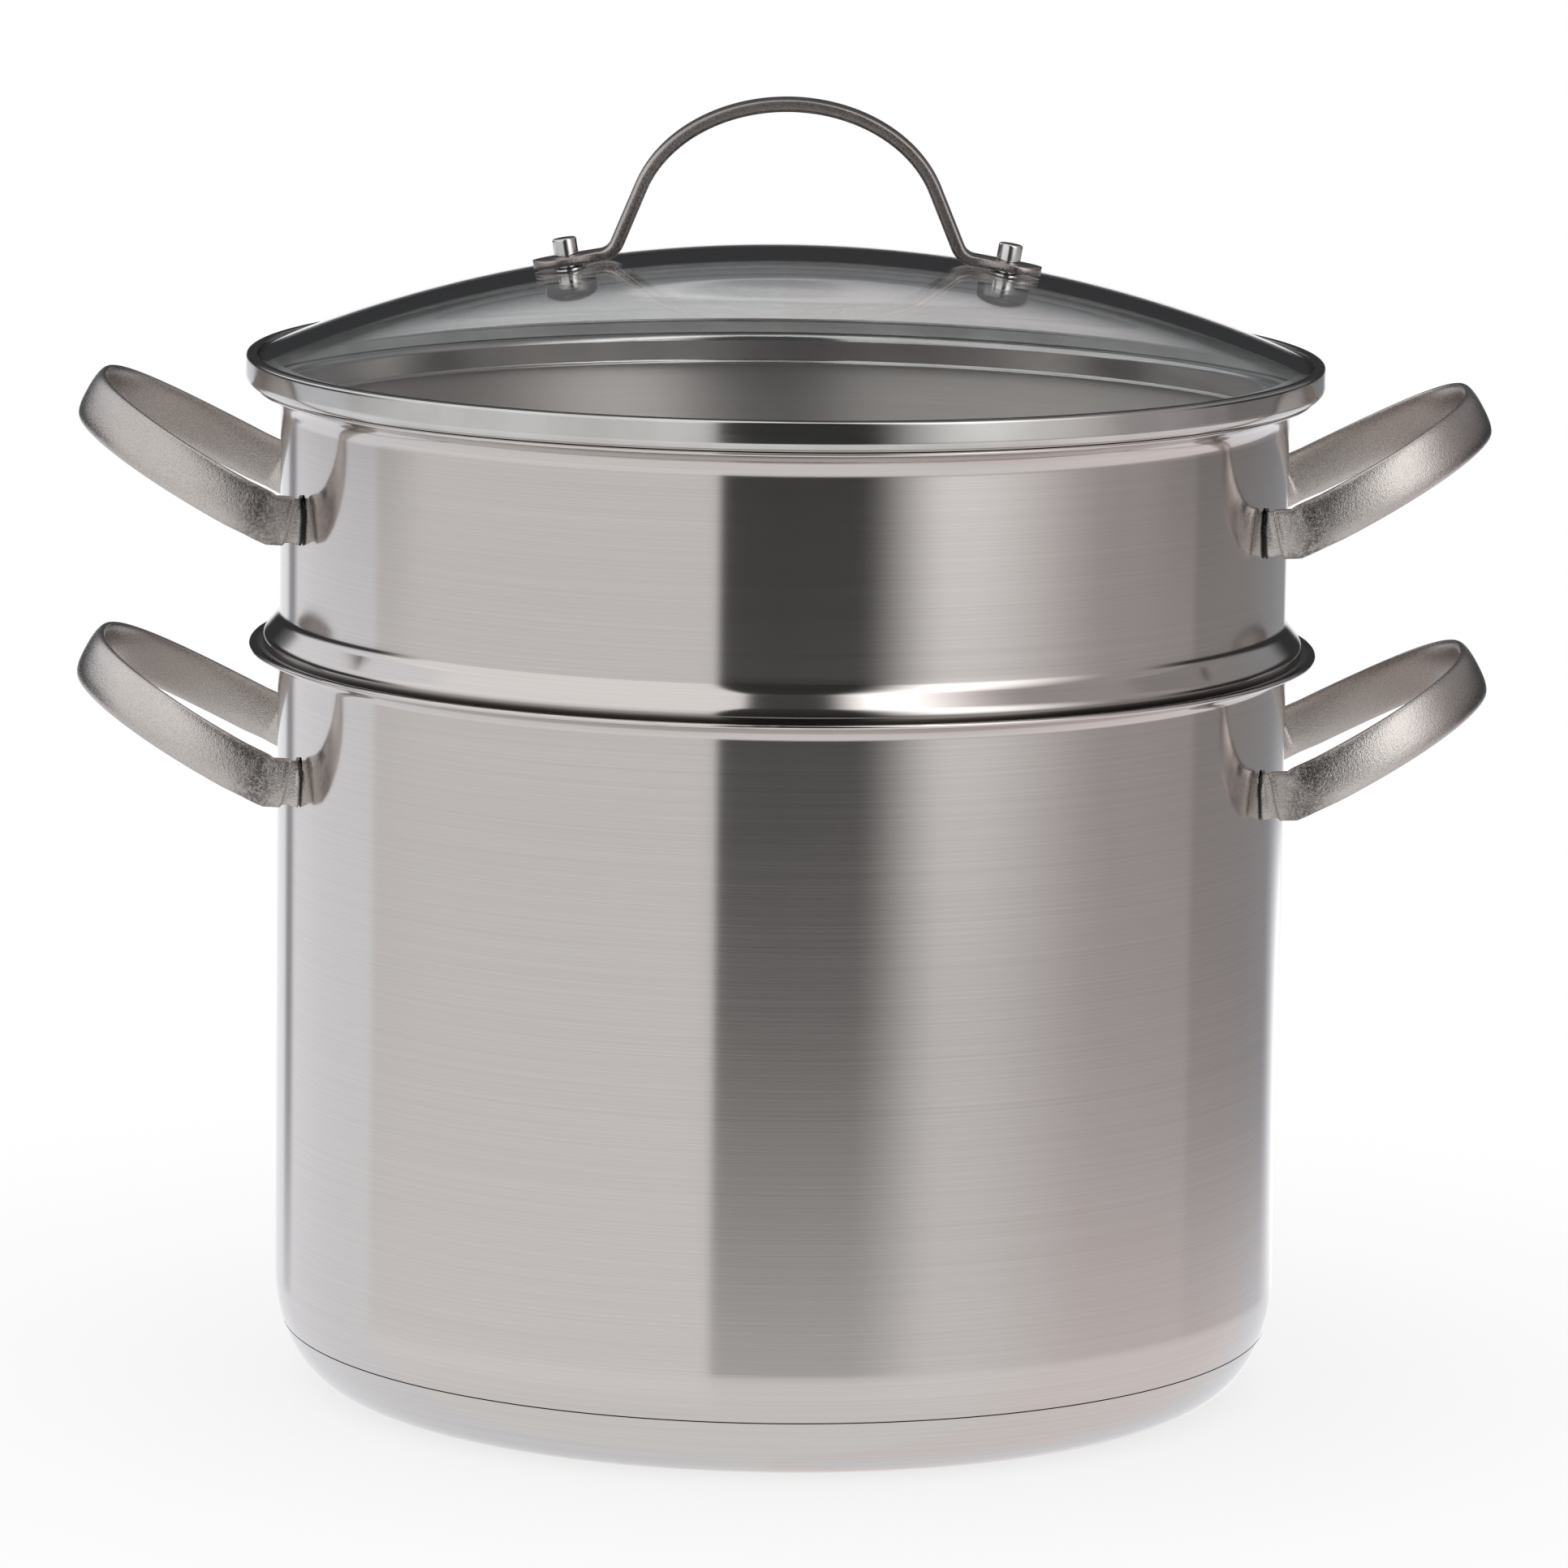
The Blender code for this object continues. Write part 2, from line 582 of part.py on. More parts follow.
def lid_band():
    top_edge = BAND_RADIUS - BAND_LIP
    lip_height = dome_height(top_edge, GLASS_DOME_RADIUS) + GAP + BAND_SHEET
    face_low = LID_SEAT + BAND_TUCK
    face_high = face_low + BAND_FACE
    line = [(top_edge, lip_height)]
    line += arc((BAND_RADIUS - BAND_CORNER, face_high), (BAND_CORNER, lip_height - face_high), 90, 0, 2)
    line += arc((BAND_RADIUS - BAND_TUCK, face_low), (BAND_TUCK, BAND_TUCK), 0, -90, 3)
    skirt = MOUTH_RADIUS - SKIRT_CLEARANCE
    line += [(skirt + SKIRT_CORNER, LID_SEAT), (skirt, LID_SEAT - SKIRT_CORNER)]
    line.append((skirt, LID_SEAT - SKIRT_DEPTH))
    return smooth(turned("lid_rim_band", sheet(line, BAND_SHEET), polished_steel("band steel")))


def lid_seal():
    outer = BAND_RADIUS - BAND_TUCK - BAND_SHEET
    inner = outer - SEAL_WIDTH
    bottom = LID_SEAT + BAND_SHEET + GAP
    line = [(outer, dome_height(outer, GLASS_INNER_RADIUS) - GAP), (outer, bottom)]
    line += [(inner, bottom), (inner, dome_height(inner, GLASS_INNER_RADIUS) - GAP)]
    return smooth(turned("lid_seal", line, silicone("seal silicone")))


def lid_handle():
    half_thickness = ARCH_STRAP_THICKNESS / 2
    centre = dome_height(0.0, GLASS_DOME_RADIUS) + ARCH_RISE - ARCH_SPRING
    across_half = ARCH_HALF_WIDTH - half_thickness
    rise = ARCH_SPRING - half_thickness
    arch = arc((0.0, centre), (across_half, rise), 90, 90 - ARCH_SWEEP, 7)
    leg_angle = math.radians(ARCH_SWEEP)
    down = Vector((across_half * math.cos(leg_angle), -rise * math.sin(leg_angle))).normalized()
    spring = Vector(arch[-1])
    lean = math.asin(STUD_REACH / GLASS_DOME_RADIUS)
    tab_way = Vector((math.cos(lean), -math.sin(lean)))
    lift = GAP + TAB_THICKNESS / 2
    stud_foot = Vector((STUD_REACH, dome_height(STUD_REACH, GLASS_DOME_RADIUS)))
    tab_point = stud_foot + Vector((math.sin(lean), math.cos(lean))) * lift
    # The leg's line meets the tab's line at the corner, which the bend rounds off
    crossing = down.x * tab_way.y - down.y * tab_way.x
    gap = tab_point - spring
    run = (gap.x * tab_way.y - gap.y * tab_way.x) / crossing
    corner = spring + down * run
    turn = math.acos(down.dot(tab_way))
    back = BEND_RADIUS * math.tan(turn / 2)
    entry = corner - down * back
    bend_centre = entry + Vector((-down.y, down.x)) * BEND_RADIUS
    start_angle = math.degrees(math.atan2(entry.y - bend_centre.y, entry.x - bend_centre.x))
    bend = arc(bend_centre, (BEND_RADIUS, BEND_RADIUS), start_angle, start_angle + math.degrees(turn), 4)
    nose_length = TAB_WIDTH / 2
    half = [(point, ARCH_STRAP_WIDTH / 2, half_thickness) for point in arch + bend[:-1]]
    half_tab = TAB_THICKNESS / 2
    half.append((bend[-1], (ARCH_STRAP_WIDTH + TAB_WIDTH) / 4, (half_thickness + half_tab) / 2))
    for share in (1.0, 0.6, 0.25, 0.07, 0.0):
        reach = TAB_PAST_STUD - nose_length * share
        width = nose_length * math.sqrt(max(1 - (1 - share) ** 2, 0.04))
        half.append((tab_point + tab_way * reach, width, half_tab))
    across = Vector((0.0, 1.0, 0.0))
    path = [(Vector((-p[0], 0.0, p[1])), across, width, deep, deep) for p, width, deep in half[::-1]]
    path += [(Vector((p[0], 0.0, p[1])), across, width, deep, deep) for p, width, deep in half[1:]]
    piece = strap("lid_handle", path, cast_steel("handle steel"), rounded_section(8, 3.0))
    hole = STUD_SHANK_DIAMETER / 2 + FIT
    length = 3 * TAB_THICKNESS
    for side in (-1, 1):
        drill = turned("tab_drill", [(0.0, length), (hole, length), (hole, -GAP), (0.0, -GAP)],
                       silicone("drill"), 12, closed=False)
        place_at(drill, stud_frame(side))
        cut(piece, drill)
    bpy.context.view_layer.update()
    return smooth(piece, 50.0)


TAB_TOP = GAP + TAB_THICKNESS                   # heights along a stud's own axis, 0 at the glass
FLANGE_TOP = -GLASS_THICKNESS - GAP
WASHER_TOP = FLANGE_TOP - BUSHING_FLANGE - GAP
CAP_TOP = WASHER_TOP - WASHER_THICKNESS - GAP
SHANK_END = CAP_TOP - STUD_ENGAGEMENT


def lid_fasteners(side, word):
    frame = stud_frame(side)
    head = STUD_HEAD_DIAMETER / 2
    shank = STUD_SHANK_DIAMETER / 2
    head_low = TAB_TOP + GAP
    head_top = head_low + STUD_HEAD_HEIGHT
    outline = [(0.0, head_top), (head - STUD_CHAMFER, head_top)]
    outline += [(head, head_top - STUD_CHAMFER), (head, head_low)]
    outline += [(shank, head_low), (shank, SHANK_END), (0.0, SHANK_END)]
    stud = turned("lid_stud_" + word, outline, polished_steel("stud steel " + word), 12, closed=False)
    smooth(place_at(stud, frame))
    inner = shank + FIT
    sleeve = inner + BUSHING_WALL
    flange = CAP_DIAMETER / 2
    outline = [(sleeve, -GAP), (sleeve, FLANGE_TOP), (flange, FLANGE_TOP), (flange, FLANGE_TOP - BUSHING_FLANGE)]
    outline += [(inner, FLANGE_TOP - BUSHING_FLANGE), (inner, -GAP)]
    bushing = turned("lid_bushing_" + word, outline, silicone("bushing silicone " + word), 12)
    smooth(place_at(bushing, frame))
    outline = [(flange, WASHER_TOP), (flange, WASHER_TOP - WASHER_THICKNESS)]
    outline += [(inner, WASHER_TOP - WASHER_THICKNESS), (inner, WASHER_TOP)]
    washer = turned("lid_washer_" + word, outline, polished_steel("washer steel " + word), 12)
    smooth(place_at(washer, frame))
    outline = [(0.0, SHANK_END - GAP), (inner, SHANK_END - GAP), (inner, CAP_TOP), (flange, CAP_TOP)]
    outline += arc((0.0, CAP_TOP - CAP_RIM), (flange, CAP_HEIGHT - CAP_RIM), 0, -90, 4)
    cap = turned("lid_cap_nut_" + word, outline, polished_steel("cap steel " + word), 12, closed=False)
    return smooth(place_at(cap, frame))


pot_body()
base_core()
base_cap()
pasta_insert()
steamer_basket()
lid_glass()
lid_band()
lid_seal()
lid_handle()
for side, word in ((-1, "left"), (1, "right")):
    side_handle("pot_handle_" + word, side, POT_TOP - POT_HANDLE_DROP, POT_RADIUS)
    side_handle("insert_handle_" + word, side, INSERT_TOP - INSERT_HANDLE_DROP, INSERT_RADIUS)
    lift_loop("steamer_lift_loop_" + word, side)
    lid_fasteners(side, word)
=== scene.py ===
import math

import bmesh
import bpy
from mathutils import Matrix, Vector


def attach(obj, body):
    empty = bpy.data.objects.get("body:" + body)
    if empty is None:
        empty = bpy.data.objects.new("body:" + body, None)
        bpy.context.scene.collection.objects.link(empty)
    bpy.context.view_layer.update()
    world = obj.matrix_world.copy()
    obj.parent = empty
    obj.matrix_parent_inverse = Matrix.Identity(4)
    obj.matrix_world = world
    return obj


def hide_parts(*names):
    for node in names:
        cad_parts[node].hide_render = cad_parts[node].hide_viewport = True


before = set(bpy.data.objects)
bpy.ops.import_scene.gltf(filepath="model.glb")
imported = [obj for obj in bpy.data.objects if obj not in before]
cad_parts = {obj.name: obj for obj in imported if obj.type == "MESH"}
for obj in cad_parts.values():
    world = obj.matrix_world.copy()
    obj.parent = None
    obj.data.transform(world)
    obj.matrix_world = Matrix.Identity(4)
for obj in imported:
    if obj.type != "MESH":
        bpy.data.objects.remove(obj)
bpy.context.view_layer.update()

print("frame loaded:", len(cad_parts), "nodes")

# Lengths are in metres. The pot stands on z = 0 with its axis on Z, and the photo was taken from -Y.
segments = 192      # facets round each large turned piece
airGap = 0.0003     # between pieces that touch
tiny = 1e-6         # points this close are one
longRun = 0.004     # straight stretches longer than this get a point near each end
runInset = 0.0004   # how near


# Node trees: a wire is one output socket, and maths on wires adds Math nodes

class Wire:
    def __init__(self, graph, socket):
        self.graph = graph
        self.socket = socket

    def maths(self, operation, *others):
        return self.graph.node("ShaderNodeMath", {"operation": operation}, dict(enumerate((self, *others))))

    def __add__(self, other):
        return self.maths("ADD", other)

    def __sub__(self, other):
        return self.maths("SUBTRACT", other)

    def __rsub__(self, other):
        return (self * -1.0).maths("ADD", other)

    def __mul__(self, other):
        return self.maths("MULTIPLY", other)

    def __truediv__(self, other):
        return self.maths("DIVIDE", other)

    __radd__ = __add__
    __rmul__ = __mul__

    def scaled(self, share):
        # A colour or a vector, multiplied
        return self.graph.node("ShaderNodeVectorMath", {"operation": "SCALE"}, {0: self, "Scale": share})

    def towards(self, target, amount):
        # Blends from this value to the target
        return self + (target - self) * amount


class Graph:
    def __init__(self, tree):
        self.tree = tree
        self.tree.nodes.clear()

    def node(self, kind, settings=None, sockets=None, output=0):
        made = self.tree.nodes.new(kind)
        for name, value in (settings or {}).items():
            setattr(made, name, value)
        for name, value in (sockets or {}).items():
            if isinstance(value, Wire):
                self.tree.links.new(value.socket, made.inputs[name])
            else:
                made.inputs[name].default_value = value
        return Wire(self, made.outputs[output]) if made.outputs else None

    def other(self, wire, output):
        # Another output of the node that a wire comes from
        return Wire(self, wire.socket.node.outputs[output])

    def vector(self, operation, *values):
        # Vector maths; a length or a dot product comes out as a number
        output = "Value" if operation in ("LENGTH", "DOT_PRODUCT") else "Vector"
        return self.node("ShaderNodeVectorMath", {"operation": operation}, dict(enumerate(values)), output)

    def here(self):
        return self.node("ShaderNodeTexCoord", output="Object")

    def fromAxis(self):
        # The way out from the pot's axis, which leaves the height out
        return self.vector("MULTIPLY", self.here(), (1.0, 1.0, 0.0))

    def axis(self, letter):
        return self.other(self.node("ShaderNodeSeparateXYZ", {}, {0: self.here()}), letter)

    def smoothStep(self, value, low, high):
        return self.node("ShaderNodeMapRange", {"interpolation_type": "SMOOTHSTEP"},
                         {"Value": value, "From Min": low, "From Max": high})

    def between(self, value, low, high, soft):
        rising = self.smoothStep(value, low - soft, low + soft)
        return rising * (1.0 - self.smoothStep(value, high - soft, high + soft))

    def mixColour(self, factor, first, second):
        first, second = (tone if isinstance(tone, Wire) else (*tone, 1.0) for tone in (first, second))
        return self.node("ShaderNodeMix", {"data_type": "RGBA"}, {0: factor, 6: first, 7: second}, 2)

    def mixShader(self, factor, first, second):
        return self.node("ShaderNodeMixShader", {}, {0: factor, 1: first, 2: second})

    def noise(self, scale, seed, detail=3.0, roughness=0.6):
        # A large scale packs the pattern tightly, on all axes or on each by its own number
        scale = scale if isinstance(scale, tuple) else (scale,) * 3
        place = self.node("ShaderNodeMapping", {}, {"Vector": self.here(), "Scale": scale})
        return self.node("ShaderNodeTexNoise", {"noise_dimensions": "4D"}, {
            "Vector": place, "W": seed, "Scale": 1.0, "Detail": detail, "Roughness": roughness})

    def bump(self, look, height):
        return self.node("ShaderNodeBump", {}, {
            "Strength": look["bump"], "Distance": look["bumpDepth"], "Height": height})

    def steel(self, colour, rough, bump, brushing=None):
        return self.node("ShaderNodeBsdfPrincipled", {}, {
            "Base Color": colour, "Roughness": rough, "Metallic": 1.0, "Normal": bump, **(brushing or {})})


def material(name, finish, look):
    made = bpy.data.materials.new(name)
    made.use_nodes = True
    graph = Graph(made.node_tree)
    graph.node("ShaderNodeOutputMaterial", {}, {"Surface": finish(graph, look)})
    return made


# Finishes

def brushedSteel(graph, look):
    # Drawn round the wall: streaks are long round the axis and fine up it, and glints spread up and down
    length, fine, seed = (look[name] for name in ("streakLength", "streakFine", "seed"))
    streak = graph.noise((length, length, fine), seed, 4.0, 0.7)
    coarse = graph.noise((length, length, fine / look["coarser"]), seed + 4.0, 2.0, 0.5)
    cloud = graph.noise(look["cloudScale"], seed + 8.0, roughness=0.5)
    mark = streak * look["streakShare"] + coarse * (1.0 - look["streakShare"])
    colour = graph.mixColour(graph.smoothStep(mark, *look["markRange"]), look["dark"], look["light"])
    rough = look["roughness"] + (mark - 0.5) * look["roughSpread"] + (cloud - 0.5) * look["cloudSpread"]
    # Painted shade: a dark band round the wall from just below to just above the given height
    height = graph.axis("Z")
    crevice = graph.smoothStep(height, *(look["crevice"] - drop for drop in look["creviceBelow"]))
    above = graph.smoothStep(height, *(look["crevice"] + rise for rise in look["creviceAbove"]))
    colour = graph.mixColour(crevice * (1.0 - above), colour, look["creviceTone"])
    # The side that faces the axis is a second copy of the steel, rougher and with its own grain, and its
    # colour is scaled up: painted light that brightens the inside
    facing = graph.node("ShaderNodeNewGeometry", output="True Normal")
    outward = graph.vector("DOT_PRODUCT", facing, graph.fromAxis())
    inward = 1.0 - graph.smoothStep(outward, *look["inwardRange"])
    bump = graph.bump(look, mark)
    sides = []
    for tone, rougher, grain in ((colour, rough, look["grain"]),
                                 (colour.scaled(look["innerTone"]), rough + look["innerRoughness"],
                                  look["innerGrain"])):
        sides.append(graph.steel(tone, rougher, bump, {
            "Anisotropic": grain, "Anisotropic Rotation": look["grainTurn"]}))
    return graph.mixShader(inward, *sides)


def blastedSteel(graph, look):
    # Cast and blasted: a fine grain over slow patches, a mottled dark patch of painted reflection near the
    # wall on the front, and a painted shadow where the weld boss meets the wall
    seed = look["seed"]
    grain = graph.noise(look["grain"], seed, 2.0)
    coarse = graph.noise(look["grain"] * look["coarseShare"], seed + 6.0, 2.0)
    patch = graph.smoothStep(graph.noise(look["patchScale"], seed + 3.0, 2.0, 0.5), *look["patchRange"])
    tone = graph.mixColour(patch, look["dark"], look["light"])
    pits = graph.smoothStep(grain, *look["pitRange"])
    colour = graph.mixColour(pits * look["pitShare"] + (1.0 - look["pitShare"]), look["pit"], tone)
    # Painted reflection: a mottled dark patch near the wall, on the handle's front only, stands in for the
    # dark studio reflected there
    radius = graph.vector("LENGTH", graph.fromAxis())
    near = graph.between(radius, *look["scorchReach"], look["scorchSoft"])
    near = near * graph.smoothStep(graph.axis("Y"), *look["scorchFront"])
    cloud = graph.smoothStep(graph.noise(look["cloudScale"], seed + 9.0), *look["cloudRange"])
    speckle = graph.smoothStep(coarse, *look["speckleRange"])
    clouded = cloud * look["scorchCloud"] + (1.0 - look["scorchCloud"])
    speckled = speckle * look["scorchSpeckle"] + look["scorchLeast"]
    colour = graph.mixColour(near * clouded * speckled, colour, look["scorch"])
    # Painted shadow: nearly black where the weld boss meets the wall
    stain = 1.0 - graph.smoothStep(radius, *look["stainReach"])
    colour = graph.mixColour(stain * look["stainShare"], colour, look["stain"])
    rough = look["roughness"] + (grain - 0.5) * look["grainRough"] - (patch - 0.5) * look["patchRough"]
    coarseHeight = near * cloud * look["scorchHeight"] + look["coarseHeight"]
    height = grain * look["grainHeight"] + coarse * coarseHeight
    return graph.steel(colour, rough, graph.bump(look, height))


def polishedSteel(graph, look):
    swirl = graph.noise(look["swirlScale"], look["seed"])
    cloud = graph.noise(look["cloudScale"], look["seed"] + 2.0, roughness=0.5)
    colour = graph.mixColour(graph.smoothStep(cloud, *look["cloudRange"]), look["dark"], look["light"])
    rough = look["roughness"] + (swirl - 0.5) * look["swirlRough"] + (cloud - 0.5) * look["cloudRough"]
    return graph.steel(colour, rough, graph.bump(look, swirl))


def siliconeRubber(graph, look):
    dust = graph.noise(look["dustScale"], look["seed"])
    slow = graph.noise(look["slowScale"], look["seed"] + 3.0, 2.0, 0.5)
    colour = graph.mixColour(graph.smoothStep(slow, *look["slowRange"]), look["dark"], look["light"])
    rough = look["roughness"] + (dust - 0.5) * look["roughSpread"]
    return graph.node("ShaderNodeBsdfPrincipled", {}, {
        "Base Color": colour, "Roughness": rough, "Normal": graph.bump(look, dust)})


def clearGlass(graph, look):
    solid = graph.node("ShaderNodeBsdfPrincipled", {}, {
        "Base Color": (*look["tint"], 1.0), "Roughness": 0.0, "IOR": look["ior"], "Transmission Weight": 1.0,
        "Normal": graph.bump(look, graph.noise(look["smearScale"], look["seed"], 4.0))})
    # Light that has left the steel passes straight through, so that the inside is lit and keeps its glints
    path = graph.node("ShaderNodeLightPath")
    glossy, diffuse, through, mirrored, shadow = (
        graph.other(path, "Is " + kind + " Ray")
        for kind in ("Glossy", "Diffuse", "Transmission", "Singular", "Shadow"))
    scattered = (glossy + diffuse) * (1.0 - through) * (1.0 - mirrored) + shadow
    clear = graph.node("ShaderNodeBsdfTransparent", {}, {"Color": (*look["through"], 1.0)})
    return graph.mixShader(scattered, solid, clear)


potLook = {
    "dark": (0.593, 0.558, 0.538), "light": (0.637, 0.602, 0.582), "roughness": 0.125, "roughSpread": 0.035,
    "cloudScale": (14.0, 14.0, 20.0), "cloudSpread": 0.02, "bump": 0.065, "bumpDepth": 0.00004, "grain": 0.75,
    "grainTurn": 0.25, "streakLength": 6.0, "streakFine": 3200.0, "streakShare": 0.93, "coarser": 6,
    "markRange": (0.30, 0.70), "seed": 1.0, "inwardRange": (-0.03, -0.01), "innerRoughness": 0.40,
    "innerGrain": 0.93, "innerTone": 1.35, "crevice": -1.0, "creviceBelow": (0.0022, 0.0012),
    "creviceAbove": (0.0002, 0.0028), "creviceTone": (0.055, 0.048, 0.045),
}
capLook = {**potLook, "dark": (0.60, 0.575, 0.555), "light": (0.65, 0.625, 0.605), "bump": 0.06,
           "roughSpread": 0.05, "seed": 31.0}
steamerLook = {**potLook, "dark": (0.50, 0.475, 0.46), "light": (0.58, 0.555, 0.54), "roughness": 0.28,
               "innerRoughness": 0.04, "innerTone": 1.0, "seed": 41.0}
handleLook = {
    "dark": (0.52, 0.482, 0.457), "light": (0.64, 0.602, 0.577), "patchScale": 22.0,
    "patchRange": (0.35, 0.68), "pit": (0.26, 0.235, 0.22), "pitShare": 0.42, "pitRange": (0.30, 0.62),
    "roughness": 0.27, "grainRough": 0.24, "patchRough": 0.08, "bump": 0.72, "bumpDepth": 0.0002,
    "grain": 2900.0, "coarseShare": 0.45, "grainHeight": 0.6, "coarseHeight": 0.3, "scorchHeight": 0.9,
    "seed": 3.0, "scorch": (0.12, 0.10, 0.095), "scorchReach": (0.1275, 0.1360), "scorchSoft": 0.0045,
    "scorchFront": (0.01, -0.01), "scorchCloud": 0.4, "scorchSpeckle": 0.5, "scorchLeast": 0.38,
    "cloudScale": 90.0, "cloudRange": (0.40, 0.56), "speckleRange": (0.62, 0.42),
    "stain": (0.02, 0.018, 0.016), "stainReach": (0.1211, 0.1219), "stainShare": 0.97,
}
lidHandleLook = {
    **handleLook, "dark": (0.38, 0.345, 0.33), "light": (0.54, 0.50, 0.48), "pit": (0.16, 0.14, 0.13),
    "pitShare": 0.5, "bump": 0.42, "grain": 3900.0, "seed": 13.0, "scorchReach": (-0.4, -0.3),
    "stainReach": (-0.3, -0.2),
}
polish = {"swirlScale": (40.0, 40.0, 900.0), "cloudScale": 60.0, "cloudRange": (0.3, 0.7), "swirlRough": 0.08,
          "cloudRough": 0.05, "bump": 0.05, "bumpDepth": 0.00003}
siliconeLook = {"dark": (0.30, 0.30, 0.29), "light": (0.42, 0.42, 0.41), "dustScale": 900.0,
                "slowScale": 60.0, "slowRange": (0.3, 0.7), "roughness": 0.52, "roughSpread": 0.2,
                "bump": 0.15, "bumpDepth": 0.00005, "seed": 2.0}
glassLook = {"tint": (0.985, 0.99, 0.99), "through": (0.94, 0.95, 0.95), "ior": 1.5, "smearScale": 30.0,
             "bump": 0.1, "bumpDepth": 0.00002, "seed": 1.0}

potSteel = material("potSteel", brushedSteel, potLook)
capSteel = material("capSteel", brushedSteel, capLook)
steamerSteel = material("steamerSteel", brushedSteel, steamerLook)
handleSteel = material("handleSteel", blastedSteel, handleLook)
lidHandleSteel = material("lidHandleSteel", blastedSteel, lidHandleLook)
bandSteel, studSteel, nutSteelPaintedDark, wireSteel, aluminium = (
    material(name, polishedSteel, {**polish, "dark": dark, "light": light, "roughness": rough, "seed": seed})
    for name, dark, light, rough, seed in (
        ("bandSteel", (0.56, 0.545, 0.53), (0.64, 0.625, 0.61), 0.13, 6.0),
        ("studSteel", (0.58, 0.57, 0.56), (0.68, 0.67, 0.66), 0.20, 7.0),
        # The nut and washer steel is painted dark, a painted reflection of the pot's dark inside
        ("nutSteelPaintedDark", (0.20, 0.185, 0.175), (0.34, 0.32, 0.31), 0.12, 8.0),
        ("wireSteel", (0.55, 0.54, 0.53), (0.66, 0.65, 0.64), 0.16, 9.0),
        ("aluminium", (0.70, 0.70, 0.71), (0.80, 0.80, 0.81), 0.38, 11.0)))
silicone = material("silicone", siliconeRubber, siliconeLook)
lidGlassClear = material("lidGlassClear", clearGlass, glassLook)
print("finishes ready")


# Shapes

def placed(name, data):
    made = bpy.data.objects.new(name, data)
    bpy.context.scene.collection.objects.link(made)
    return made


def addPiece(name, mesh, finish, body, slotName, *nodes, sharpFrom=30.0):
    mesh.shade_smooth()
    mesh.set_sharp_from_angle(angle=math.radians(sharpFrom))
    mesh.materials.clear()
    mesh.materials.append(finish)
    piece = placed(name, mesh)
    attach(piece, body)
    if nodes:
        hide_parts(*nodes)


def meshFrom(shape, name):
    bmesh.ops.recalc_face_normals(shape, faces=shape.faces[:])
    mesh = bpy.data.meshes.new(name)
    shape.to_mesh(mesh)
    shape.free()
    return mesh


def arc(centre, radius, start, end, steps):
    # Points round a circle, or round an ellipse where the radius is a pair of half axes; angles in degrees
    wide, high = radius if isinstance(radius, tuple) else (radius, radius)
    points = []
    for step in range(steps + 1):
        angle = math.radians(start + (end - start) * step / steps)
        points.append((centre[0] + wide * math.cos(angle), centre[1] + high * math.sin(angle)))
    return points


def tidied(points):
    kept = [points[0]]
    for point in points[1:]:
        if math.dist(point, kept[-1]) > tiny:
            kept.append(point)
    return kept


def supported(points):
    # Adds a point close to each end of a long straight run, so that its shading stays flat
    kept = [points[0]]
    for first, last in zip(points, points[1:]):
        run = Vector(last) - Vector(first)
        if run.length > longRun:
            ease = run.normalized() * runInset
            kept += [tuple(Vector(first) + ease), tuple(Vector(last) - ease)]
        kept.append(last)
    return kept


def offsetLine(points, distance):
    # The same line moved to the right of its direction, mitred at its corners
    points = tidied(points)
    moved = []
    for index, point in enumerate(points):
        here = Vector(point)
        normals = []
        for other, sign in ((index - 1, -1), (index + 1, 1)):
            if 0 <= other < len(points):
                run = (Vector(points[other]) - here) * sign
                normals.append(Vector((run.y, -run.x)).normalized())
        mitre = sum(normals, Vector((0.0, 0.0))).normalized()
        moved.append(tuple(here + mitre * (distance / max(mitre.dot(normals[0]), 0.5))))
    return moved


def roundedLine(corners, reaches, steps):
    # Open line through the corners, each inner one eased by a curve that starts the given reach before it
    points = [tuple(corners[0])]
    for before, corner, after, reach in zip(corners, corners[1:], corners[2:], reaches):
        first = corner + (before - corner).normalized() * reach
        last = corner + (after - corner).normalized() * reach
        for step in range(steps + 1):
            share = step / steps
            points.append(tuple(first.lerp(corner, share).lerp(corner.lerp(last, share), share)))
    points.append(tuple(corners[-1]))
    return points


def edgeRound(outside, inside, steps=6):
    # Half circle that closes a sheet's free edge, from the inner line's start to the outer line's start
    first = Vector(inside)
    last = Vector(outside)
    centre = (first + last) / 2
    reach = (first - last).length / 2
    start = math.degrees(math.atan2(first.y - centre.y, first.x - centre.x))
    return arc(centre, reach, start, start - 180, steps)[1:-1]


def sheetOutline(outside, thickness):
    # Outline of bent sheet: up its inner line, round its edge and down the outer one
    outside = tidied(outside)
    inside = offsetLine(outside, thickness)
    if abs(outside[-1][0]) < tiny:
        inside[-1] = (0.0, inside[-1][1])
    return inside[::-1] + edgeRound(outside[0], inside[0]) + outside


def turnedMesh(name, outline, closed=True, around=segments):
    # Turns an outline in the XZ plane about Z; points on the axis become poles
    outline = supported(tidied(outline))
    shape = bmesh.new()
    rings = []
    for radius, height in outline:
        if abs(radius) < tiny:
            rings.append([shape.verts.new((0.0, 0.0, height))])
            continue
        rings.append([shape.verts.new((radius * math.cos(2 * math.pi * turn / around),
                                       radius * math.sin(2 * math.pi * turn / around), height))
                      for turn in range(around)])
    pairs = list(zip(rings, rings[1:]))
    if closed:
        pairs.append((rings[-1], rings[0]))
    for low, high in pairs:
        if len(low) == 1 and len(high) == 1:
            continue
        for turn in range(around):
            following = (turn + 1) % around
            corners = [low[turn % len(low)], low[following % len(low)],
                       high[following % len(high)], high[turn % len(high)]]
            shape.faces.new(list(dict.fromkeys(corners)))
    return meshFrom(shape, name)


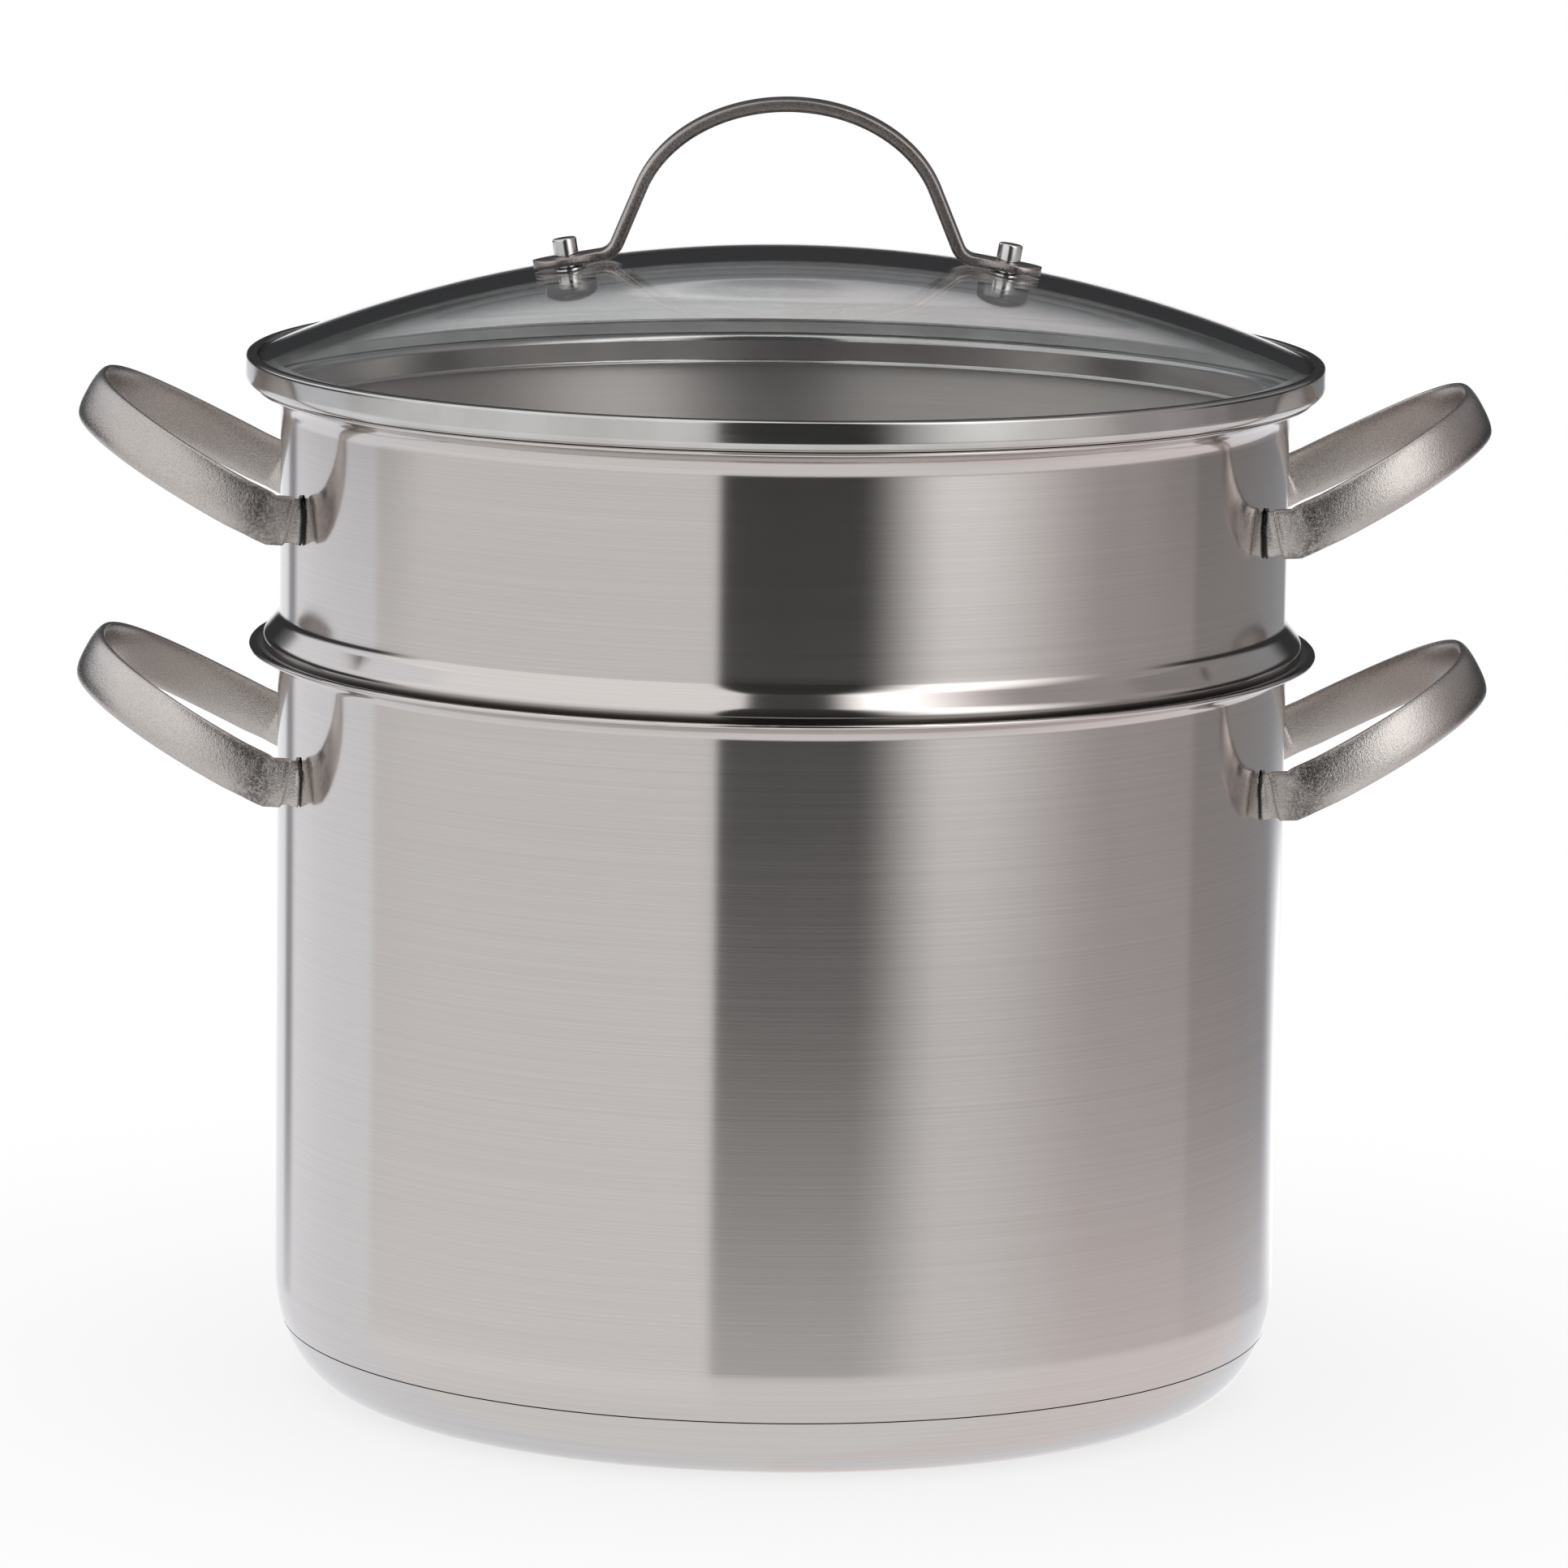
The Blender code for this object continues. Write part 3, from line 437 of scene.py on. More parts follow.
def sweptMesh(name, rings):
    shape = bmesh.new()
    made = [[shape.verts.new(point) for point in ring] for ring in rings]
    count = len(made[0])
    for one, two in zip(made, made[1:]):
        for index in range(count):
            following = (index + 1) % count
            shape.faces.new((one[index], one[following], two[following], two[index]))
    shape.faces.new(made[0][::-1])
    shape.faces.new(made[-1])
    return meshFrom(shape, name)


def waysAlong(points):
    # The direction of a line at each of its points
    points = [Vector(point) for point in points]
    befores = [points[0], *points[:-1]]
    afters = [*points[1:], points[-1]]
    return [(after - before).normalized() for before, after in zip(befores, afters)]


def eased(share):
    return share * share * (3 - 2 * share)


def strapSection(halfWidth, inner, outer, innerSquareness, outerSquareness, count=36):
    # Rounded bar: across (first) and through (second), squarer as the squareness rises from 2
    points = []
    for index in range(count):
        angle = 2 * math.pi * (index + 0.5) / count
        cosine = math.cos(angle)
        sine = math.sin(angle)
        reach, power = (outer, 2 / outerSquareness) if sine > 0 else (inner, 2 / innerSquareness)
        points.append((halfWidth * math.copysign(abs(cosine) ** power, cosine),
                       reach * math.copysign(abs(sine) ** power, sine)))
    return points


def plainMesh(scratch, *helpers):
    # The mesh of a scratch object with its modifiers applied, after which the objects go
    graph = bpy.context.evaluated_depsgraph_get()
    result = bpy.data.meshes.new_from_object(scratch.evaluated_get(graph))
    scratch.modifiers.clear()
    for leftover in (scratch, *helpers):
        bpy.data.objects.remove(leftover)
    return result


def drilled(mesh, cutterMeshes):
    # The mesh with the cutters' shapes cut out of it
    scratch = placed("scratch", mesh)
    cutters = [placed("cutter", cutterMesh) for cutterMesh in cutterMeshes]
    for cutter in cutters:
        boolean = scratch.modifiers.new("Drill", "BOOLEAN")
        boolean.operation = "DIFFERENCE"
        boolean.solver = "EXACT"
        boolean.object = cutter
    return plainMesh(scratch, *cutters)


# Perforations: a Geometry Nodes tree punches rows of round holes in a wall and a grid of them in a floor

# firstTurn is in hole spacings; across is odd and wider than any floor
punch = {"facets": 28, "reach": 0.0024, "firstTurn": 0.25, "across": 21}


def perforationTree():
    tree = bpy.data.node_groups.new("Perforations", "GeometryNodeTree")
    sockets = {"Geometry": "Geometry", "Wall Radius": "Float", "Columns": "Int", "Rows": "Int",
               "Lowest": "Float", "Row Rise": "Float", "Floor Height": "Float", "Floor Spacing": "Float",
               "Floor Reach": "Float", "Hole Diameter": "Float", "Punch Length": "Float",
               "Finish": "Material"}
    for name, kind in sockets.items():
        tree.interface.new_socket(name, in_out="INPUT", socket_type="NodeSocket" + kind)
    tree.interface.new_socket("Geometry", in_out="OUTPUT", socket_type="NodeSocketGeometry")
    graph = Graph(tree)
    given = graph.node("NodeGroupInput")
    want = {name: graph.other(given, name) for name in sockets}
    index = graph.node("GeometryNodeInputIndex")

    row = (index / want["Columns"]).maths("FLOOR")
    column = index - row * want["Columns"]
    stagger = row.maths("FLOORED_MODULO", 2.0) * 0.5
    turn = (column + punch["firstTurn"] + stagger) * (2 * math.pi) / want["Columns"]
    wallPlace = graph.node("ShaderNodeCombineXYZ", {}, {
        "X": turn.maths("COSINE") * want["Wall Radius"], "Y": turn.maths("SINE") * want["Wall Radius"],
        "Z": want["Lowest"] + row * want["Row Rise"]})
    wallCount = want["Columns"] * want["Rows"]
    facing = graph.node("ShaderNodeCombineXYZ", {}, {"X": 0.0, "Y": math.pi / 2, "Z": turn})

    across = punch["across"]
    floorRow = (index / across).maths("FLOOR") - across // 2
    floorColumn = index - (floorRow + across // 2) * across - across // 2
    x = (floorColumn + floorRow.maths("FLOORED_MODULO", 2.0) * 0.5) * want["Floor Spacing"]
    y = floorRow * want["Floor Spacing"] * (math.sqrt(3) / 2)
    floorPlace = graph.node("ShaderNodeCombineXYZ", {}, {"X": x, "Y": y, "Z": want["Floor Height"]})
    near = (x * x + y * y).maths("SQRT").maths("LESS_THAN", want["Floor Reach"])

    joined = graph.node("GeometryNodeJoinGeometry")
    for count, place, others in ((wallCount, wallPlace, {"Rotation": facing}),
                                 (across * across, floorPlace, {"Selection": near})):
        points = graph.node("GeometryNodePoints", {}, {"Count": count, "Position": place})
        cylinder = graph.node("GeometryNodeMeshCylinder", {}, {
            "Vertices": punch["facets"], "Radius": want["Hole Diameter"] * 0.5,
            "Depth": want["Punch Length"]})
        punches = graph.node("GeometryNodeInstanceOnPoints", {}, {
            "Points": points, "Instance": cylinder, **others})
        tree.links.new(punches.socket, joined.socket.node.inputs[0])
    punches = graph.node("GeometryNodeRealizeInstances", {}, {0: joined})
    pierced = graph.node("GeometryNodeMeshBoolean", {"operation": "DIFFERENCE", "solver": "EXACT"},
                         {0: want["Geometry"], 1: punches})
    whole = graph.node("GeometryNodeRealizeInstances", {}, {0: pierced})
    finished = graph.node("GeometryNodeSetMaterial", {}, {"Geometry": whole, "Material": want["Finish"]})
    graph.node("NodeGroupOutput", {}, {0: finished})
    return tree


perforations = perforationTree()


def perforated(mesh, size, finish):
    values = {
        "Wall Radius": size["radius"] - size["sheet"] / 2, "Columns": size["columns"], "Rows": size["rows"],
        "Lowest": size["floor"] + size["lowestHole"], "Row Rise": size["rowRise"],
        "Floor Height": size["floor"] + size["sheet"] / 2, "Floor Spacing": size["holeSpacing"],
        "Floor Reach": size["radius"] - size["corner"] - size["holeDiameter"],
        "Hole Diameter": size["holeDiameter"], "Punch Length": size["sheet"] + 2 * punch["reach"],
        "Finish": finish,
    }
    scratch = placed("scratch", mesh)
    nodes = scratch.modifiers.new("Perforations", "NODES")
    nodes.node_group = perforations
    for item in perforations.interface.items_tree:
        if item.in_out == "INPUT" and item.name in values:
            nodes[item.identifier] = values[item.name]
    return plainMesh(scratch)


# Pot

pot = {
    "wallRadius": 0.1210, "top": 0.1793, "sheet": 0.0010, "flare": 0.0065, "flareRise": 0.0035,
    "floorCorner": 0.0165, "footReach": 0.0170, "footRise": 0.0265, "seam": 0.0148, "capSheet": 0.0010,
    "core": 0.0060, "floorEdgeReach": 0.0040, "slopeRun": 0.0060, "slopeRise": 0.0020,
}
pot["underside"] = pot["capSheet"] + airGap + pot["core"] + airGap
pot["floorTop"] = pot["underside"] + pot["sheet"]
flareCentre = (pot["wallRadius"] + pot["flare"], pot["top"] - pot["sheet"] - pot["flareRise"])
shoulderTop = pot["top"] - pot["sheet"] - pot["flare"]


def footCurve(inset, start, end, steps):
    centre = (pot["wallRadius"] - pot["footReach"], pot["footRise"])
    return arc(centre, (pot["footReach"] - inset, pot["footRise"] - inset), start, end, steps)


def footAngle(height, inset):
    return math.degrees(math.asin((height - pot["footRise"]) / (pot["footRise"] - inset)))


def makePot():
    outside = arc(flareCentre, (pot["flare"], pot["flareRise"]), 90, 180, 16)
    outside += footCurve(0.0, 0.0, footAngle(pot["seam"] + airGap, 0.0), 14)
    outside.append((outside[-1][0] - pot["capSheet"] - airGap, pot["seam"] + airGap))
    floorEdge = pot["wallRadius"] - pot["footReach"] + pot["floorEdgeReach"]
    outside.append((floorEdge + pot["slopeRun"], pot["underside"] + pot["slopeRise"]))
    outside += [(floorEdge, pot["underside"]), (0.0, pot["underside"])]
    inside = arc(flareCentre, (pot["flare"] + pot["sheet"], pot["flareRise"] + pot["sheet"]), 90, 180, 16)
    corner = pot["floorCorner"]
    innerRadius = pot["wallRadius"] - pot["sheet"]
    inside += arc((innerRadius - corner, pot["floorTop"] + corner), corner, 0, -90, 14)
    inside.append((0.0, pot["floorTop"]))
    outline = inside[::-1] + edgeRound(outside[0], inside[0]) + outside
    shell = turnedMesh("potShell", outline, closed=False)
    addPiece("potShell", shell, potSteel, "pot", "pot_steel", "pot_body")

    outside = footCurve(0.0, footAngle(pot["seam"], 0.0), -90, 22) + [(0.0, 0.0)]
    inside = footCurve(pot["capSheet"], footAngle(pot["seam"], pot["capSheet"]), -90, 22)
    inside.append((0.0, pot["capSheet"]))
    cap = turnedMesh("baseCap", inside[::-1] + outside, closed=False)
    addPiece("baseCap", cap, capSteel, "pot", "base_steel", "pot_base_cap", sharpFrom=50.0)
    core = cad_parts["pot_base_core"]
    core.data.materials.clear()
    core.data.materials.append(aluminium)


makePot()
print("pot and base ready")


# Pasta insert

insert = {
    "setIn": 0.0004, "stand": 0.0621, "sheet": 0.0009, "flare": 0.0054, "stepStart": 0.0100,
    "stepTop": 0.0071, "beadReach": 0.0042, "beadRise": 0.0022, "beadTuck": 0.0005, "beadDrop": 0.0003,
    "beadEase": 0.0014, "seatFrom": 130, "shoulderDrop": 0.0075, "basketClearance": 0.0040,
    "floorClearance": 0.0164, "corner": 0.0120, "holeDiameter": 0.0080, "columns": 20, "rows": 5,
    "lowestHole": 0.0230, "rowRise": 0.0220, "holeSpacing": 0.0340,
}
insert["wallRadius"] = pot["wallRadius"] - insert["setIn"]
insert["top"] = pot["top"] + insert["stand"]
insert["radius"] = pot["wallRadius"] - pot["sheet"] - insert["basketClearance"]
insert["floor"] = pot["floorTop"] + insert["floorClearance"]
seatRadius = pot["flare"] + pot["sheet"] + airGap
neckRadius = flareCentre[0] - seatRadius
# The insert's steel gets a painted shade band where its bead sits on the pot's rim
insertSteel = material("insertSteel", brushedSteel, {**potLook, "seed": 21.0, "crevice": pot["top"]})


def shoulderLine(steps=12):
    line = []
    for step in range(steps + 1):
        share = step / steps
        blend = (1 - math.cos(math.pi * share)) / 2
        line.append((neckRadius + (insert["radius"] - neckRadius) * blend,
                     shoulderTop - insert["shoulderDrop"] * share))
    return line


def basketEnd(size):
    # The rounded corner and the floor that close a basket's outline
    corner = size["corner"]
    return arc((size["radius"] - corner, size["floor"] + corner), corner, 0, -90, 12) + [
        (0.0, size["floor"])]


def makeInsert():
    rimCentre = (insert["wallRadius"] + insert["flare"], insert["top"] - insert["sheet"] - insert["flare"])
    line = arc(rimCentre, insert["flare"], 90, 180, 14)
    wall = insert["wallRadius"]
    bead = wall + insert["beadReach"]
    step = [Vector((wall, pot["top"] + insert["stepStart"])), Vector((wall, pot["top"] + insert["stepTop"])),
            Vector((bead, pot["top"] + insert["beadRise"])),
            Vector((bead - insert["beadTuck"], pot["top"] - insert["beadDrop"]))]
    line += roundedLine(step, (insert["beadEase"],) * 2, 8)
    seatRise = pot["flareRise"] + pot["sheet"] + airGap
    line += arc(flareCentre, (seatRadius, seatRise), insert["seatFrom"], 180, 8)
    line += shoulderLine() + basketEnd(insert)
    shell = turnedMesh("pastaInsert", sheetOutline(line, insert["sheet"]), closed=False)
    shell = perforated(shell, insert, insertSteel)
    addPiece("pastaInsertShell", shell, insertSteel, "insert", "insert_steel", "pasta_insert")


makeInsert()
print("pasta insert ready")


# Steamer basket, whose wall isn't pierced

steamer = {
    "sheet": 0.0008, "lip": 0.0030, "wallClearance": 0.0015, "depth": 0.0620, "corner": 0.0100,
    "holeDiameter": 0.0080, "holeSpacing": 0.0340, "columns": 20, "rows": 0, "lowestHole": 0.0,
    "rowRise": 0.0, "wire": 0.0030, "wireFacets": 20, "endShare": 0.8, "liftSpread": 0.0480,
    "liftHeight": 0.0340, "liftCorner": 0.0144, "liftLeg": 0.0220, "liftFoot": 0.0040, "wallFacets": 40,
}
steamerSeat = offsetLine(shoulderLine(), insert["sheet"] + airGap)
steamer["radius"] = steamerSeat[-1][0] - steamer["wallClearance"]
steamer["floor"] = steamerSeat[0][1] - steamer["depth"]


def makeSteamer():
    line = [(steamerSeat[0][0], steamerSeat[0][1] + steamer["lip"])] + steamerSeat[:-1]
    line.append((steamer["radius"], steamerSeat[-1][1] - insert["shoulderDrop"] / 4))
    line += basketEnd(steamer)
    shell = turnedMesh("steamer", sheetOutline(line, steamer["sheet"]), closed=False)
    shell = perforated(shell, steamer, steamerSteel)
    addPiece("steamerShell", shell, steamerSteel, "steamer", "steamer_steel", "steamer_basket")


def makeLiftLoop(word, side):
    half = steamer["liftSpread"] / 2
    wire = steamer["wire"] / 2
    # Clear of the wall even where that is drawn with few facets
    wall = (steamer["radius"] - steamer["sheet"]) * math.cos(math.pi / steamer["wallFacets"])
    along = math.sqrt((wall - airGap - wire) ** 2 - half ** 2)
    start = steamerSeat[0][1] + steamer["lip"] - steamer["liftLeg"]
    corner = steamer["liftCorner"]
    bend = start + steamer["liftHeight"] - corner
    foot = start + steamer["liftFoot"]
    points = [(-half, start), (-half, foot)]
    points += arc((-half + corner, bend), corner, 180, 90, 14)
    points += arc((half - corner, bend), corner, 90, 0, 14)
    points = tidied(points + [(half, foot), (half, start)])
    facets = steamer["wireFacets"]
    rings = []
    for (across, height), way in zip(points, waysAlong(points)):
        outward = Vector((0.0, way.y, -way.x))
        centre = Vector((side * along, across, height))
        rings.append([centre + Vector((math.cos(turn), 0.0, 0.0)) * wire + outward * (math.sin(turn) * wire)
                      for turn in (2 * math.pi * step / facets for step in range(facets))])
    for end in (0, -1):
        middle = sum(rings[end], Vector()) / facets
        rings[end] = [middle + (point - middle) * steamer["endShare"] for point in rings[end]]
    addPiece("liftLoop" + word, sweptMesh("liftLoop", rings), wireSteel, "steamer", "wire_steel",
             "steamer_lift_loop_" + word.lower(), sharpFrom=50.0)


makeSteamer()
makeLiftLoop("Left", -1)
makeLiftLoop("Right", 1)
print("steamer basket ready")


# Side handles

sideHandle = {
    "tilt": 28.9, "setIn": 0.0036, "reach": 0.0570, "halfWidth": 0.0454, "squareness": 2.46, "bow": 0.0006,
    "sweep": 80.0, "steps": 46, "width": 0.0120, "thickness": 0.0032, "footSpread": 0.0440,
    "footLength": 0.0042, "heelLength": 0.0032, "footLift": 0.0017, "footSwell": 0.0020, "footLean": 12.5,
    "edgeRound": 0.0006, "standoff": 0.0033, "bossShare": 0.90, "bossFront": 0.0003, "potDrop": 0.0305,
    "insertDrop": 0.0301, "innerSquareness": 2.3, "outerSquareness": 2.35,
}
# Share of the way from the foot to the wall, and how much wider the weld boss is there
weldFlare = ((0.02, 0.0), (0.5, 0.0), (0.75, 0.0003), (0.9, 0.0008))


def makeSideHandle(name, body, node, side, height, wallRadius):
    size = sideHandle
    tilt = math.radians(size["tilt"])
    along = Vector((math.cos(tilt), 0.0, math.sin(tilt)))
    across = Vector((-math.sin(tilt), 0.0, math.cos(tilt)))
    lean = math.radians(size["footLean"])
    footing = Vector((-math.sin(lean), 0.0, math.cos(lean)))
    rootRadius = wallRadius - size["setIn"]
    root = Vector((rootRadius, 0.0, height))
    thick = size["thickness"] / 2
    wide = size["width"] / 2
    reach = size["reach"] - thick
    spread = size["halfWidth"] - thick
    power = 2 / size["squareness"]
    stations = []       # point, across, half width, reach inside, reach outside
    for step in range(size["steps"] + 1):
        angle = math.radians(size["sweep"] * step / size["steps"])
        share = math.cos(angle) ** power
        point = root + along * (reach * share)
        point.y = spread * math.sin(angle) ** power
        point.z -= 4 * size["bow"] * share * (1 - share)
        stations.append((point, across, wide, thick, thick))
    footRadius = wallRadius + size["standoff"]
    footY = size["footSpread"] - thick
    footX = math.sqrt(footRadius ** 2 - footY ** 2)
    inward = Vector((-footX, -footY, 0.0)) / footRadius
    foot = Vector((footX, footY, height + size["footLift"]))
    swell = thick + size["footSwell"]
    heelX = footX + size["footLength"]
    nearX = heelX + size["heelLength"]
    slope = math.tan(tilt)
    near = Vector((nearX, spread, height + (nearX - rootRadius) * slope))
    heel = Vector((heelX, (footY + 2 * spread) / 3, height + (heelX - rootRadius) * slope))
    last = stations[-1][0]
    for share in (0.2, 0.4, 0.6, 0.8, 1.0):
        stations.append((last.lerp(near, share), across, wide, thick, thick))
    for share in (0.25, 0.5, 0.75, 1.0):
        stations.append((near.lerp(heel, share), across.lerp(footing, share).normalized(), wide,
                         thick + size["footSwell"] * eased(share), thick))
    for share in (0.3, 0.6, 0.8):
        stations.append((heel.lerp(foot, share), footing, wide, swell, thick))
    for angle in (0.0, 30.0, 60.0, 85.0):
        backed = size["edgeRound"] * (1 - math.sin(math.radians(angle)))
        inset = size["edgeRound"] * (1 - math.cos(math.radians(angle)))
        stations.append((foot - inward * backed, footing, wide - inset, swell - inset, thick - inset))
    bossWide = wide * size["bossShare"]
    bossIn = swell * size["bossShare"]
    toWall = size["standoff"] - airGap
    for share, flare in weldFlare:
        stations.append((foot + inward * (toWall * share), footing, bossWide + flare, bossIn + flare,
                         size["bossFront"] + flare))
    whole = [(Vector((point.x, -point.y, point.z)), *others) for point, *others in stations[:0:-1]] + stations
    rings = []
    for (point, normal, halfWidth, inner, outer), way in zip(whole, waysAlong([one[0] for one in whole])):
        through = way.cross(normal).normalized()
        rings.append([point + normal * wideward + through * deep for wideward, deep in strapSection(
            halfWidth, inner, outer, size["innerSquareness"], size["outerSquareness"])])
    for end in (0, -1):
        for spot in rings[end]:
            drawn = (wallRadius + airGap) / math.hypot(spot.x, spot.y)
            spot.x *= drawn
            spot.y *= drawn
    rings = [[Vector((side * spot.x, spot.y, spot.z)) for spot in ring] for ring in rings]
    addPiece(name, sweptMesh(name, rings), handleSteel, body, "handle_steel", node, sharpFrom=45.0)


for side, word in ((-1, "Left"), (1, "Right")):
    makeSideHandle("potHandle" + word, "pot", "pot_handle_" + word.lower(), side,
                   pot["top"] - sideHandle["potDrop"], pot["wallRadius"])
    makeSideHandle("insertHandle" + word, "insert", "insert_handle_" + word.lower(), side,
                   insert["top"] - sideHandle["insertDrop"], insert["wallRadius"])
print("side handles ready")


# Lid

lid = {
    "domeRadius": 0.3224, "glass": 0.0040, "edgeRise": 0.0060, "edgeRounding": 0.0008, "overhang": 0.0083,
    "sheet": 0.0006, "face": 0.0044, "tuck": 0.0021, "lip": 0.0023, "bandCorner": 0.0012, "skirt": 0.0072,
    "skirtRoll": 0.0011, "skirtClearance": 0.0012, "skirtCorner": 0.0010, "sealWidth": 0.0045,
    "studReach": 0.0523,
}
lid["seat"] = insert["top"] + airGap
lid["radius"] = insert["wallRadius"] + lid["overhang"]
lid["edge"] = lid["radius"] - lid["sheet"] - airGap
lid["centre"] = insert["top"] + lid["edgeRise"] - math.sqrt(lid["domeRadius"] ** 2 - lid["edge"] ** 2)
lid["innerDome"] = lid["domeRadius"] - lid["glass"]
stud = {
    "headDiameter": 0.0058, "headHeight": 0.0039, "chamfer": 0.0006, "shank": 0.0044, "bushingWall": 0.0012,
    "flange": 0.0006, "washer": 0.0006, "capDiameter": 0.0124, "capHeight": 0.0036, "capRim": 0.0012,
    "engagement": 0.0024, "fit": 0.0003,
}
lidHandle = {
    "rise": 0.0367, "halfWidth": 0.0385, "spring": 0.0306, "sweep": 72.0, "width": 0.0090,
    "thickness": 0.0033, "tabWidth": 0.0125, "tabThickness": 0.0023, "pastStud": 0.0082, "bend": 0.0050,
    "noseSweep": 88.0, "squareness": 5.0,
}


def domeHeight(radius, sphere):
    return lid["centre"] + math.sqrt(sphere ** 2 - radius ** 2)


def domeLine(first, last, sphere, steps):
    return [(first + (last - first) * step / steps, domeHeight(first + (last - first) * step / steps, sphere))
            for step in range(steps + 1)]


def studFrame(side):
    lean = math.asin(lid["studReach"] / lid["domeRadius"])
    height = domeHeight(lid["studReach"], lid["domeRadius"])
    place = Matrix.Translation((side * lid["studReach"], 0.0, height))
    return place @ Matrix.Rotation(side * lean, 4, "Y")


def drillMesh(radius, top, bottom, side):
    outline = [(0.0, top), (radius, top), (radius, bottom), (0.0, bottom)]
    mesh = turnedMesh("drill", outline, closed=False, around=40)
    mesh.transform(studFrame(side))
    return mesh


def makeLidGlass():
    flat = lid["edge"] - lid["edgeRounding"]
    rounding = lid["edgeRounding"]
    outside = domeLine(0.0, flat, lid["domeRadius"], 64)
    upper = domeHeight(flat, lid["domeRadius"])
    lower = domeHeight(flat, lid["innerDome"])
    outside += arc((flat, upper - rounding), rounding, 80, 0, 4)
    inside = domeLine(0.0, flat, lid["innerDome"], 64)
    inside += arc((flat, lower + rounding), rounding, -80, 0, 4)
    dome = turnedMesh("lidGlass", outside + inside[::-1], closed=False)
    hole = stud["shank"] / 2 + stud["bushingWall"] + 2 * stud["fit"]
    dome = drilled(dome, [drillMesh(hole, 3 * lid["glass"], -3 * lid["glass"], side) for side in (-1, 1)])
    addPiece("lidDome", dome, lidGlassClear, "lid", "lid_glass", "lid_glass")


def makeLidBand():
    topEdge = lid["radius"] - lid["lip"]
    lipHeight = domeHeight(topEdge, lid["domeRadius"]) + airGap + lid["sheet"]
    faceLow = lid["seat"] + lid["tuck"]
    faceHigh = faceLow + lid["face"]
    corner = lid["bandCorner"]
    tuck = lid["tuck"]
    line = [(topEdge, lipHeight)]
    line += arc((lid["radius"] - corner, faceHigh), (corner, lipHeight - faceHigh), 90, 0, 8)
    line += arc((lid["radius"] - tuck, faceLow), tuck, 0, -90, 10)
    skirt = insert["wallRadius"] - insert["sheet"] - lid["skirtClearance"]
    skirtCorner = lid["skirtCorner"]
    line += arc((skirt + skirtCorner, lid["seat"] - skirtCorner), skirtCorner, 90, 180, 6)
    roll = lid["skirtRoll"]
    line += arc((skirt - roll, lid["seat"] - lid["skirt"] + roll), roll, 0, -75, 8)
    outline = sheetOutline(line, lid["sheet"])
    inner = offsetLine(line, lid["sheet"])
    outline += edgeRound(inner[-1], line[-1])
    addPiece("lidBand", turnedMesh("lidBand", outline), bandSteel, "lid", "band_steel", "lid_rim_band",
             sharpFrom=40.0)
    outer = lid["radius"] - tuck - lid["sheet"]
    inner = outer - lid["sealWidth"]
    bottom = lid["seat"] + lid["sheet"] + airGap
    top = [(radius, domeHeight(radius, lid["innerDome"]) - airGap)
           for radius in (inner + lid["sealWidth"] * step / 6 for step in range(7))]
    seal = turnedMesh("lidSeal", top + [(outer, bottom), (inner, bottom)])
    addPiece("lidSeal", seal, silicone, "lid", "seal_silicone", "lid_seal")


def lidHandleStations():
    size = lidHandle
    halfWidth = size["width"] / 2
    halfThickness = size["thickness"] / 2
    crown = domeHeight(0.0, lid["domeRadius"]) + size["rise"]
    acrossHalf = size["halfWidth"] - halfThickness
    rise = size["spring"] - halfThickness
    arch = arc((0.0, crown - size["spring"]), (acrossHalf, rise), 90, 90 - size["sweep"], 36)
    sweep = math.radians(size["sweep"])
    down = Vector((acrossHalf * math.cos(sweep), -rise * math.sin(sweep))).normalized()
    spring = Vector(arch[-1])
    lean = math.asin(lid["studReach"] / lid["domeRadius"])
    tabWay = Vector((math.cos(lean), -math.sin(lean)))
    studFoot = Vector((lid["studReach"], domeHeight(lid["studReach"], lid["domeRadius"])))
    tabPoint = studFoot + Vector((math.sin(lean), math.cos(lean))) * (airGap + size["tabThickness"] / 2)
    crossing = down.x * tabWay.y - down.y * tabWay.x
    reach = tabPoint - spring
    corner = spring + down * ((reach.x * tabWay.y - reach.y * tabWay.x) / crossing)
    turn = math.acos(down.dot(tabWay))
    entry = corner - down * (size["bend"] * math.tan(turn / 2))
    bendCentre = entry + Vector((-down.y, down.x)) * size["bend"]
    start = math.degrees(math.atan2(entry.y - bendCentre.y, entry.x - bendCentre.x))
    bend = arc(bendCentre, size["bend"], start, start + math.degrees(turn), 14)
    half = [(Vector(point), halfWidth, halfThickness) for point in arch]
    half += [(spring.lerp(entry, share), halfWidth, halfThickness) for share in (0.25, 0.5, 0.75)]
    noseRadius = size["tabWidth"] / 2
    halfTab = size["tabThickness"] / 2
    thinning = halfTab - halfThickness
    noseCentre = size["pastStud"] - noseRadius
    exitRun = (Vector(bend[-1]) - tabPoint).dot(tabWay)
    for index, point in enumerate(bend):
        share = index / (len(bend) - 1)
        half.append((Vector(point), halfWidth, halfThickness + thinning * share * 0.5))
    for step in range(1, 13):
        share = step / 12
        blend = eased(share)
        width = halfWidth + (noseRadius - halfWidth) * blend
        thin = halfThickness + thinning * (0.5 + 0.5 * blend)
        half.append((tabPoint + tabWay * (exitRun + (noseCentre - exitRun) * share), width, thin))
    for step in range(1, 15):
        angle = math.radians(size["noseSweep"] * step / 14)
        half.append((tabPoint + tabWay * (noseCentre + noseRadius * math.sin(angle)),
                     noseRadius * math.cos(angle), halfTab))
    return half


